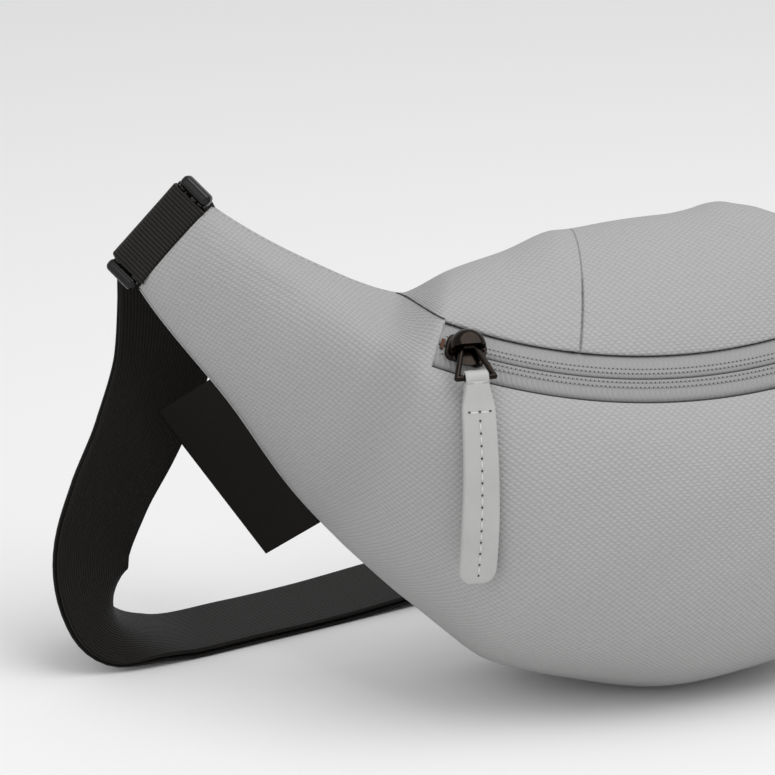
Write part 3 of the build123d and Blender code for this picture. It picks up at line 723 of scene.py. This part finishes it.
TZ = np.linspace(-26.1, 26.1, 240)
for nm, s in (("tape_upper", -1), ("tape_lower", 1)):
    prof = ([(9.7, -4.0), (8.9, -3.3), (8.2, -1.9), (7.4, -1.05)] if s > 0
            else [(9.6, -2.9), (8.8, -2.2), (8.0, -1.5), (7.4, -1.1)])
    prof += [(6.0, -0.72), (4.8, -0.55), (4.0, -0.42), (3.3, -0.20), (2.4, 0.02),
            (1.5, 0.06), (0.75, -0.08), (0.25, -0.40), (0.10, -0.9), (0.10, -1.5)]
    P = np.array([[zip_pt(t, s * r, h) for r, h in prof] for t in TZ])
    ob = grid_mesh(nm, P, arc_uv(P, 120))
    recalc(ob)
    mod(ob, "SUBSURF", levels=1, render_levels=1)
    finish_piece(ob, "bag", m_tape, "zip_tape", "zip_tape_upper" if s < 0 else "zip_tape_lower")
    # the coil's stitches show on the face of the tape in rows, each beside its needle hole; the holes are flat dark
    # dots of painted shade
    for what, mat_, shift in (("stitches", m_tape, 0.0), ("holes", m_zhole_shade, 0.5)):
        bm = bmesh.new()
        n = 118
        for row, h in ((1.6, 0.05), (3.2, -0.18)):
            for i in range(n):
                t = -25.9 + 51.8 * (i + shift + (0.5 if row > 2 else 0)) / n
                c = zip_pt(t, s * row, h + (0.02 if shift else 0.0))
                mat = Matrix((tuple(tangent(t)), tuple(radial(t)), tuple(NZ))).transposed().to_4x4()
                mat.translation = Vector(M(c))
                d = (0.00042, 0.00046, 0.00022, 1) if not shift else (0.00027, 0.00036, 0.00011, 1)
                bmesh.ops.create_uvsphere(bm, u_segments=8, v_segments=5, radius=1.0, matrix=mat @ Matrix.Diagonal(d))
        finish_piece(from_bmesh("zip_" + what + "_" + nm[5:], bm), "bag", mat_, "zip_tape")
    # nylon coil under the tape
    w = np.linspace(0, 2 * math.pi * 112, 112 * 10)
    P = [zip_pt(-25.7 + 51.4 * q / w[-1], s * (2.05 + 0.95 * math.cos(q)), -2.25 + 0.62 * math.sin(q)) for q in w]
    ob = tube("coil_" + nm[5:], P, 0.3, 6)
    finish_piece(ob, "bag", m_coil, "zip_coil", "zip_coil_upper" if s < 0 else "zip_coil_lower")


# the ditch of the seams is dark with thread and shade
for nm, line in (("ditch_lower", [zip_pt(t, 8.55, -0.42) for t in np.linspace(-26.0, 26.0, 150)]),
                 ("ditch_left", [at(t, sec(t)["d"]) + NZ * 0.12 for t in np.linspace(-T_TIP, -26.2, 30)]),
                 ("ditch_right", [at(t, sec(t)["d"]) + NZ * 0.12 for t in np.linspace(26.2, T_TIP, 30)])):
    ob = tube(nm, np.array(line), 0.42 if nm == "ditch_lower" else 0.26, 6)
    finish_piece(ob, "bag", m_ditch, "thread")


# ------------------------------------------------------------------ webbing
def catmull(ps, step):
    out, n = [], len(ps)
    for i in range(n - 1):
        p0 = ps[i-1] if i else ps[0]*2 - ps[1]
        p1, p2 = ps[i], ps[i+1]
        p3 = ps[i+2] if i + 2 < n else ps[n-1]*2 - ps[n-2]
        d1, d2, d3 = (np.linalg.norm(q)**.5 for q in (p1-p0, p2-p1, p3-p2))
        t1 = ((p1-p0)/d1 - (p2-p0)/(d1+d2) + (p2-p1)/d2) * d2
        t2 = ((p2-p1)/d2 - (p3-p1)/(d2+d3) + (p3-p2)/d3) * d2
        sub = max(1, round(np.linalg.norm(p2-p1) / step))
        for j in range(sub):
            u = j / sub
            out.append((i+u, p1*(2*u**3-3*u**2+1) + t1*(u**3-2*u**2+u) + p2*(-2*u**3+3*u**2) + t2*(u**3-u**2),
                        p1*(6*u*u-6*u) + t1*(3*u*u-4*u+1) + p2*(-6*u*u+6*u) + t2*(3*u*u-2*u)))
    out.append((n-1, ps[-1], t2))
    return out


def strap_profile(w, t, n=14):
    """closed section of webbing with rounded, slightly thicker selvedges"""
    h, e = w / 2, t / 2
    xs = np.linspace(-h + e, h - e, n)
    thick = lambda x: e * (1.0 + 0.10 * math.exp(-((abs(x) - h + 2.0) / 1.2) ** 2) - 0.06)
    up = [(x, thick(x)) for x in xs]
    rr = [(h - e + e * math.cos(a), e * math.sin(a)) for a in np.linspace(1.2, -1.2, 5)]
    dn = [(x, -thick(x)) for x in xs[::-1]]
    ll = [(-h + e - e * math.cos(a), -e * math.sin(a)) for a in np.linspace(1.2, -1.2, 5)]
    return up + rr + dn + ll


def smooth(u):
    u = min(1.0, max(0.0, u))
    return u * u * (3 - 2 * u)


def ribbon(name, stations, offset, side=1, s0=None, s1=None, thick=WEB_T, width=WEB_W):
    ps = [np.array(c, float) for c, _ in stations]
    ws = [np.array(w, float) for _, w in stations]
    prof = strap_profile(width, thick)
    rings, run, last = [], [], None
    for s, q, g in catmull(ps, 2.5):
        if (s0 is not None and s < s0) or (s1 is not None and s > s1):
            continue
        g = g / np.linalg.norm(g)
        i = min(int(s), len(ws) - 2)
        u = s - i
        w0, w1, w2, w3 = ws[max(i - 1, 0)], ws[i], ws[i + 1], ws[min(i + 2, len(ws) - 1)]
        w = w1 + 0.5 * ((w2 - w0) * u + (2*w0 - 5*w1 + 4*w2 - w3) * u * u + (3*w1 - w0 - 3*w2 + w3) * u ** 3)
        w = w - g * w.dot(g)
        w /= np.linalg.norm(w)
        m = np.cross(w, g) * side
        c = q + m * offset(s)
        run.append(0.0 if last is None else run[-1] + np.linalg.norm(q - last))
        last = q
        k = 1 + (END_W / width - 1) * (1 - smooth(s / 1.8)) if s < 1.8 else 1.0
        rings.append([c + w * x * k + m * y for x, y in prof])
    P = np.array(rings)
    V = np.array([x for x, _ in prof])
    UV = np.stack([np.repeat(np.array(run)[:, None], len(prof), 1), np.repeat(V[None, :], len(run), 0)], 2)
    ob = grid_mesh(name, P, UV, closed=True, caps=True)
    recalc(ob)
    return ob


side_info = {}
for side, nm in ((-1, "left"), (1, "right")):
    kb = sec(side * T_END)
    lo, hi = at(side * T_END, kb["B"]), at(side * T_END, kb["d"])
    w = (hi - lo) / np.linalg.norm(hi - lo)
    out = tangent(side * T_END) * side
    out = out - w * out.dot(w)
    out /= np.linalg.norm(out)
    n = np.cross(out, w) * (1 if side < 0 else -1)
    side_info[nm] = ((lo + hi) * 0.5 - n * 1.9, out, w, n)

C0, OUT, WD, NB_ = side_info["left"]
start = C0 + OUT * RING_OUT + NB_ * 3.5
first = start + NB_ * 4.0
LOOP = [
    (start, WD), (first, WD),
    ((-144.0, 59.0, 141.5), (0.80, -0.05, 0.45)), ((-143.5, 61.0, 122.0), (0.90, 0.08, 0.16)),
    ((-148.0, 57.5, 98.0), (0.93, 0.28, 0.0)), ((-158.5, 51.0, 76.0), (0.90, 0.42, 0.0)),
    ((-170.5, 44.0, 57.0), (0.85, 0.52, 0.0)), ((-178.6, 37.6, 39.0), (0.80, 0.60, 0.0)),
    ((-177.6, 35.5, 23.7), (0.72, 0.69, 0.0)), ((-169.5, 40.0, 10.0), (0.35, 0.94, 0.0)),
    ((-150.0, 46.0, 3.1), (0.0, 1.0, 0.0)), ((-120.0, 55.7, 1.95), (-0.28, 0.96, 0.0)),
    ((-90.0, 65.4, 1.95), (-0.308, 0.951, 0.0)), ((-48.0, 79.0, 3.9), (-0.27, 0.96, 0.0)),
    ((-36.0, 82.6, 4.2), (-0.12, 0.99, 0.0)), ((-25.0, 84.0, 4.2), (0.0, 1.0, 0.0)),
    ((0.0, 84.0, 4.2), (0.0, 1.0, 0.0)),
]
GAP = [2.6, 2.6, 2.0, 1.4] + [1.0] * 13
BO = np.array((91.8, 64.8, 4.5))
BD = np.array((102.0, -33.0, 0.0))
BD /= np.linalg.norm(BD)
BY = np.array((-BD[1], BD[0], 0.0))


def lerp_list(L, s):
    i = min(int(s), len(L) - 2)
    return L[i] * (1 - (s-i)) + L[i+1] * (s-i)


def mir(st):
    return [((-c[0], c[1], c[2]), (-w[0], w[1], w[2])) for c, w in st]


RET = LOOP[:-1] + [((-9.5, 84.0, 4.2), (0.0, 1.0, 0.0))]
ob = ribbon("belt_inner", RET, lambda s: -lerp_list(GAP, s), s1=13)
finish_piece(ob, None, m_web_fine, "webbing", "belt_return")
tuple(M(start))
tuple(M(LOOP[4][0]))
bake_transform(ob)
ob = ribbon("belt_inner_end", RET, lambda s: -lerp_list(GAP, s), s0=13)
finish_piece(ob, None, m_web_fine, "webbing")
tuple(M(RET[13][0]))
tuple(M(RET[-1][0]))
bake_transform(ob)
near, plug_end = BO - BD * 30, BO - BD * 18.7
MAIN = LOOP + mir(LOOP[13:16])[::-1] + [((near[0], near[1], 3.3), tuple(BY)),
                                        ((plug_end[0], plug_end[1], 3.1), tuple(BY))]
nl = len(LOOP) - 1
off_main = lambda s: lerp_list(GAP, min(s, nl))
ob = ribbon("belt_outer", MAIN, off_main, s1=nl)
finish_piece(ob, None, m_web_fine, "webbing", "belt_main")
tuple(M(start))
tuple(M(LOOP[4][0]))
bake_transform(ob)
ob = ribbon("belt_middle", MAIN, off_main, s0=nl)
finish_piece(ob, None, m_web_fine, "webbing")
tuple(M((14.0, 84.0, 3.0)))
tuple(M(plug_end))
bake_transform(ob)
soc, soc2 = BO + BD * 39.7, BO + BD * 52
SHORT = mir(LOOP[:11]) + [((soc2[0], soc2[1], 3.2), tuple(BY)), ((soc[0], soc[1], 4.5), tuple(BY))]
SG = GAP[:11] + [1.5, 2.4]
for nm, node, sg in (("short_strap_outer", "short_outer", 1), ("short_strap_inner", "short_inner", -1)):
    ob = ribbon(nm, SHORT, lambda s, q=sg: q * lerp_list(SG, s), side=-1)
    finish_piece(ob, None, m_web_fine, "webbing", node)
    tuple(M(SHORT[0][0]))
    tuple(M(SHORT[4][0]))
    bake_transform(ob)


def wrap(name, centre, ax, u, v, r0, arc0, arc1, tail0, tail1, thick=1.2, width=WEB_W):
    """webbing bent round a bar: centre and ax of the bar, u and v the plane of the bend; angles in degrees"""
    e = thick / 2
    r = r0 + e
    path = []
    A = np.radians(np.linspace(arc0, arc1, 22))
    pts = [centre + (u * math.cos(q) + v * math.sin(q)) * r for q in A]
    t0 = (pts[0] - pts[1]) / np.linalg.norm(pts[0] - pts[1])
    t1 = (pts[-1] - pts[-2]) / np.linalg.norm(pts[-1] - pts[-2])
    for d in np.linspace(tail0, 0, max(2, int(tail0 / 1.5) + 1))[:-1]:
        path.append(pts[0] + t0 * d)
    path += pts
    # known fault: a tail1 of 0 repeats the last point, and the last ring then has no valid direction
    for d in np.linspace(0, tail1, max(2, int(tail1 / 1.5) + 1))[1:]:
        path.append(pts[-1] + t1 * d)
    path = np.array(path)
    g = np.gradient(path, axis=0)
    g /= np.linalg.norm(g, axis=1, keepdims=True)
    prof = strap_profile(width, thick)
    rings = []
    run = np.concatenate([[0], np.cumsum(np.linalg.norm(np.diff(path, axis=0), axis=1))])
    for p, gg in zip(path, g):
        m = np.cross(ax, gg)
        rings.append([p + ax * x + m * y for x, y in prof])
    P = np.array(rings)
    V = np.array([x for x, _ in prof])
    UV = np.stack([np.repeat(run[:, None], len(prof), 1), np.repeat(V[None, :], len(run), 0)], 2)
    ob = grid_mesh(name, P, UV, closed=True, caps=True)
    recalc(ob)
    return ob


for nm in ("left", "right"):
    c0, out, w, n = side_info[nm]
    body = "ring_l" if nm == "left" else "ring_r"
    ob = wrap("anchor_web_" + nm, c0 + out * RING_IN, w, out, n, BAR_R + 0.2, -115, 115, 4.6, 4.6,
              thick=0.9, width=END_W)
    finish_piece(ob, "bag", m_web, "webbing", "anchor_" + nm)
    # the band that shows: from the cloth over the ring and round its outer bar to the back
    ob = wrap("belt_wrap_" + nm, c0 + out * RING_OUT, w, -n, out, BAR_R + 0.2, -6.5, 180, 11.3, 0.0,
              thick=1.5, width=END_W)
    finish_piece(ob, body, m_web, "webbing", "belt_turn_" + nm)

X, Y, Z = np.eye(3)
ob = wrap("adjuster_web", np.array((0.5, 84.0, 6.7)), Y, X, Z, 1.3, -180, 100, 0.4, 1.6, thick=1.0)
finish_piece(ob, "adjuster", m_web_fine, "webbing", "adjuster_loop")
ob = wrap("plug_web", BO - BD * 15.5, BY, BD, Z, 1.75, -90, 97.6, 1.6, 18.0, thick=1.4)
finish_piece(ob, "plug", m_web_fine, "webbing", "plug_loop")
ob = wrap("socket_web", BO + BD * 37, BY, -BD, Z, 1.75, -90, 90, 1.6, 1.6, thick=1.4)
finish_piece(ob, "bag", m_web_fine, "webbing", "socket_loop")

# ------------------------------------------------------------------ slider, bail, leather pull
SLIDER_T = -23.4        # where the slider stands along the zip, degrees
S_ER, S_TT = radial(SLIDER_T), tangent(SLIDER_T)
HANG, PIN_H, BT, BL, TAB_DIP, TAB_BEND = 22.5, 4.3, -6.0, 11.6, 18.0, 36.0
TAB_L, TAB_T = 69.2, 2.6


def plane_mat(o, x, z):
    y = np.cross(z, x)
    m = Matrix((tuple(x), tuple(y), tuple(z))).transposed().to_4x4()
    m.translation = Vector(o)
    return m


SP = plane_mat(OZ + S_ER * ZIP_R, S_TT, NZ)
CP = SP @ Matrix.Rotation(math.radians(HANG), 4, "Z")
BP = CP @ Matrix.Translation((0, 0, PIN_H)) @ Matrix.Rotation(math.radians(BT), 4, "X")
TL = BP @ Matrix.Translation((0, -BL, 0)) @ Matrix.Rotation(math.radians(TAB_DIP - BT), 4, "X")
TK = math.radians(TAB_BEND) / TAB_L


def tab3(x, s, n):
    th = TK * s
    p = TL @ Vector((x, -math.sin(th) / TK - n * math.sin(th), -(1 - math.cos(th)) / TK + n * math.cos(th)))
    return np.array(p)


def tab_half(s):
    w_ = 3.9 + 1.55 * smooth((s - 1.5) / 9.0) + 0.8 * min(1.0, max(0.0, (s - 8) / 40.0))
    if s > TAB_L - 5.0:
        q = (s - TAB_L + 5.0) / 5.0
        w_ -= 4.6 * (1 - math.sqrt(max(0, 1 - q * q)))
    return w_


K = 12
rings = []
S = np.concatenate([np.linspace(1.4, 10, 14), np.linspace(11, TAB_L - 5.2, 46),
                    TAB_L - 5.0 * (1 - np.sin(np.linspace(0, math.pi / 2, 12)))])
for s in S:
    hw, e = tab_half(s), TAB_T / 2 + 1.12 * (1 - smooth((s - 0.6) / 8.5))
    end = min(1.0, math.sqrt(max(0.0, (TAB_L - s) / 0.9)) + 0.25)
    e *= end
    br = min(0.75, e * 0.8)
    crown = lambda x: 0.10 * (1 - (x / hw) ** 2)
    groove = lambda x: -0.16 * math.exp(-(x / 0.7) ** 2) * (1 if 9.5 < s < TAB_L - 3 else 0)
    xs = np.linspace(-hw + br, hw - br, K + 1)
    up = [(x, e - 0.1 + crown(x) + groove(x)) for x in xs]
    rr = [(hw - br + br * math.cos(a), (e - br) * math.copysign(1, a) + br * math.sin(a))
          for a in (0.95, 0.35, -0.35, -0.95)]
    dn = [(x, -e) for x in xs[::-1]]
    ll = [(-x, y) for x, y in rr[::-1]]
    rings.append([tab3(x, s, y) for x, y in up + rr + dn + ll])
P = np.array(rings)
leather_tab = grid_mesh("leather_tab", P, closed=True, caps=True)
recalc(leather_tab)
finish_piece(leather_tab, "tab", m_leather, "leather", "pull_tab")
# the leather goes round the lower bar of the bail
ctr = np.array(TL @ Vector((0, 0, 0)))
ax = np.array(TL.to_3x3() @ Vector((1, 0, 0)))
uy = np.array(TL.to_3x3() @ Vector((0, 1, 0)))
uz = np.array(TL.to_3x3() @ Vector((0, 0, 1)))
ob = wrap("leather_eye", ctr, ax, uy, uz, 1.28, -97, 97, 2.0, 2.0, thick=1.1, width=7.8)
finish_piece(ob, "tab", m_leather, "leather")


def stitch(bm, s, x, ls, lx, n=TAB_T / 2 - 0.06):
    """one thread or hole on the pull: s along it, x across, ls and lx its half sizes, n its height"""
    o = tab3(x, s, n)
    th = TK * s
    y = np.array(TL.to_3x3() @ Vector((0, -math.cos(th), -math.sin(th))))
    z = np.array(TL.to_3x3() @ Vector((0, -math.sin(th), math.cos(th))))
    m = Matrix((tuple(np.cross(y, z)), tuple(y), tuple(z))).transposed().to_4x4()
    m.translation = Vector(M(o))
    bmesh.ops.create_uvsphere(bm, u_segments=10, v_segments=6, radius=1.0,
                              matrix=m @ Matrix.Diagonal((lx * 0.001, ls * 0.001, 0.00022, 1)))


def stitches(name, mat, slot_, spots, *nodes):
    bm = bmesh.new()
    for q in spots:
        stitch(bm, *q)
    finish_piece(from_bmesh(name, bm), "tab", mat, slot_, *nodes)


stitches("tab_thread", m_thread, "thread",
         [(15.9 + 4.0 * i, 0.0, 1.25, 0.36) for i in range(13)]
         + [(11.25, x, 0.34, 1.55) for x in (-1.75, 1.75)],
         "pull_thread")
# the needle holes are flat dark dots, painted shade
stitches("tab_hole_shade", m_hole_shade, "thread",
         [(13.9 + 4.0 * i, 0.0, 0.42, 0.42, TAB_T / 2 - 0.12) for i in range(14)]
         + [(11.0, x, 0.36, 0.48, TAB_T / 2 - 0.02) for x in (-3.5, 0.0, 3.5)])

# ------------------------------------------------------------------ side tag: folded woven label
sa_, sb_ = -43.5, -29.5
A, B = at(sa_, sec(sa_)["B"]), at(sb_, sec(sb_)["B"])
u = (B - A) / np.linalg.norm(B - A)
g = np.array((-0.546, 0.611, -0.572))
g = g - u * g.dot(u)
g /= np.linalg.norm(g)
n = np.cross(u, g)
mid = (A + B) * 0.5 + g * 13.7
rings = []
LW, LH = 62.0, 27.6
for x in np.linspace(-LW / 2, LW / 2, 50):
    ring = []
    for k_ in range(60):
        q = k_ / 60 * 2
        if q < 1:
            y, z = -LH / 2 + LH * q, 0.5
        else:
            y, z = LH / 2 - LH * (q - 1), -0.5
        if abs(y - LH / 2) < 0.6:
            z *= 0.55
        bow = 0.5 * math.sin((y / LH + 0.5) * math.pi) * math.sin((x / LW + 0.5) * math.pi)
        ring.append(mid + u * x + g * y + n * (z + bow * 0.6))
    rings.append(ring)
side_tag = grid_mesh("side_label", np.array(rings), closed=True, caps=True)
recalc(side_tag)
finish_piece(side_tag, "bag", m_tag, "tag", "side_tag")

# ------------------------------------------------------------------ back pad: foam under mesh, swelled by a simulation
TP = np.linspace(-23, 23, 60)
UP = np.linspace(0.12, 0.86, 22)
outer, inner = [], []
for t in TP:
    k = sec(t)
    s = bez(back_pts(k, t), UP)
    d = np.gradient(s, axis=0)
    d /= np.linalg.norm(d, axis=1, keepdims=True)
    nn = np.stack([-d[:, 1], d[:, 0]], 1)
    if nn[len(nn) // 2, 0] < 0:
        nn = -nn
    tx = min(1, (23 - abs(t)) / 1.5)
    prof_h = np.array([min(1, min(i, len(UP) - 1 - i) / 2.0) for i in range(len(UP))])
    outer.append(at(t, s + nn * (2.4 + 3.0 * math.sqrt(max(0, tx)) * np.sqrt(prof_h))[:, None]))
    inner.append(at(t, s + nn * 1.7))
loopP = np.concatenate([np.array(outer), np.array(inner)[:, ::-1]], axis=1)
back_cushion = grid_mesh("back_cushion", loopP, closed=True, caps=True)
recalc(back_cushion)
mod(back_cushion, "REMESH", mode="VOXEL", voxel_size=0.0024)
dg = bpy.context.evaluated_depsgraph_get()
new = bpy.data.meshes.new_from_object(back_cushion.evaluated_get(dg))
back_cushion.modifiers.clear()
back_cushion.data = new
rest = np.array([v.co for v in new.vertices])
inner_side = np.array([v.normal for v in new.vertices])[:, 1] < 0.2
vg = back_cushion.vertex_groups.new(name="hold")
vg.add([int(i) for i in np.where(inner_side)[0]], 1.0, "REPLACE")
cl = mod(back_cushion, "CLOTH")
cl.settings.use_pressure = True
cl.settings.uniform_pressure_force = 4.0
cl.settings.effector_weights.gravity = 0.0
cl.settings.vertex_group_mass = "hold"
sc = bpy.context.scene
for f in range(1, 21):
    sc.frame_set(f)
dg = bpy.context.evaluated_depsgraph_get()
simd = np.array([v.co for v in back_cushion.evaluated_get(dg).data.vertices])
back_cushion.modifiers.clear()
sc.frame_set(1)
mv = simd - rest
L = np.linalg.norm(mv, axis=1, keepdims=True)
mv = mv * np.minimum(1, 0.003 / np.maximum(L, 1e-9))
back_cushion.data.vertices.foreach_set("co", (rest + mv).astype(np.float32).ravel())
# sewn channels across the pad, after the swelling
co = rest + mv
nr = np.array([v.normal for v in back_cushion.data.vertices])
for zc in (0.045, 0.075, 0.105):
    fall = np.exp(-((co[:, 2] - zc) / 0.0016) ** 2) * (nr[:, 1] > 0.2)
    co = co - nr * (fall * 0.0017)[:, None]
back_cushion.data.vertices.foreach_set("co", co.astype(np.float32).ravel())
lay = back_cushion.data.uv_layers.get("UVMap") or back_cushion.data.uv_layers.new(name="UVMap")
for loop in back_cushion.data.loops:
    v = co[loop.vertex_index]
    lay.data[loop.index].uv = (float(v[0]), float(v[2]))
back_cushion.data.polygons.foreach_set("use_smooth", [True] * len(back_cushion.data.polygons))
back_cushion.data.update()
mod(back_cushion, "SUBSURF", levels=1, render_levels=1)
finish_piece(back_cushion, "bag", m_pad, "pad_mesh", "back_pad")
edge_in = []
PAD_T = 22.6                                    # the binding's half length, degrees
across, down = np.linspace(-PAD_T, PAD_T, 70), np.linspace(0.83, 0.15, 34)
outline = ([(t, 0.125) for t in across] + [(PAD_T, q) for q in down[::-1]]
           + [(t, 0.855) for t in across[::-1]] + [(-PAD_T, q) for q in down])
for t, q in outline:
    k = sec(t)
    s3 = bez(back_pts(k, t), [max(0, q - 0.02), q, q + 0.02])
    d_ = s3[2] - s3[0]
    nn_ = np.array((-d_[1], d_[0])) / np.linalg.norm(d_)
    nn_ = nn_ if nn_[0] > 0 else -nn_
    edge_in.append(at(t, s3[1] + nn_ * 2.0))
edge_in = np.array(edge_in)
pad3 = np.vstack([edge_in[-6:], edge_in, edge_in[:6]])
kern = np.exp(-0.5 * (np.arange(-4, 5) / 2.0) ** 2)
kern /= kern.sum()
soft = np.stack([np.convolve(pad3[:, q], kern, "same") for q in range(3)], 1)[6:-6]
soft = np.vstack([soft, soft[:1], soft[1:2]])
ob = tube("pad_binding", soft, 3.0, 10)
finish_piece(ob, "bag", m_label, "thread")

# ------------------------------------------------------------------ CAD pieces that stay, with edges and materials
keep = {
    "slider_body": m_metal, "slider_cap": m_metal, "bail": m_metal,
    "zip_stop_left": m_stop, "zip_stop_right": m_stop,
    "ring_left": m_hard, "ring_right": m_hard, "strap_adjuster": m_hard,
    "buckle_socket": m_hard, "buckle_plug": m_hard,
    "latch_back": m_hard, "latch_front": m_hard, "lining_front": m_lining, "lining_top": m_lining,
    "lining_back": m_lining, "slip_pocket": m_lining, "pocket_hem": m_label,
}
for nm, mat in keep.items():
    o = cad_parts[nm]
    o.data.materials.clear()
    o.data.materials.append(mat)
    if mat in (m_hard, m_metal, m_stop):
        mod(o, "BEVEL", width=0.00025 if mat is not m_hard else 0.0004, segments=2, limit_method="ANGLE",
            angle_limit=math.radians(35), harden_normals=False)

# ------------------------------------------------------------------ floor, light, camera
bpy.ops.mesh.primitive_plane_add(size=30, location=(0, 0, 0))
floor = bpy.context.object
floor.name = "floor"
fm = Nodes("floor", (0.86, 0.86, 0.86), 0.9, spec=0.1)
floor.data.materials.append(fm.m)
world = bpy.data.worlds.new("world")
bpy.context.scene.world = world
world.use_nodes = True
world.node_tree.nodes["Background"].inputs[0].default_value = (1, 1, 1, 1)
world.node_tree.nodes["Background"].inputs[1].default_value = 0.70


def area(name, loc, target, size, power):
    l = bpy.data.lights.new(name, "AREA")
    l.shape, l.size, l.size_y, l.energy = "RECTANGLE", size[0], size[1], power
    o = bpy.data.objects.new(name, l)
    o.location = loc
    o.rotation_euler = (Vector(target) - Vector(loc)).to_track_quat("-Z", "Y").to_euler()
    bpy.context.scene.collection.objects.link(o)


area("key", (0.35, -0.55, 1.5), (0, 0, 0.08), (1.2, 1.2), 13)
area("fill", (-1.3, -0.9, 0.8), (0, 0, 0.08), (1.0, 1.0), 3)
CAM_AZ, CAM_EL, CAM_DIST, LENS = -17, 17, 1.3, 182.0        # degrees, degrees, metres, mm
cam = bpy.data.cameras.new("camera")
cam.lens, cam.sensor_width = LENS, 36.0
cam.clip_start, cam.clip_end = 0.05, 50
co = bpy.data.objects.new("camera", cam)
bpy.context.scene.collection.objects.link(co)
bpy.context.scene.camera = co
az, el = math.radians(CAM_AZ), math.radians(CAM_EL)
target = Vector((-0.0897, (-20 + Y_SHIFT) / 1000, 0.108))
back = Vector((math.sin(az) * math.cos(el), -math.cos(az) * math.cos(el), math.sin(el)))
co.location = target + back * CAM_DIST
co.rotation_euler = (-back).to_track_quat("-Z", "Y").to_euler()
bpy.context.scene.view_settings.view_transform = "Standard"
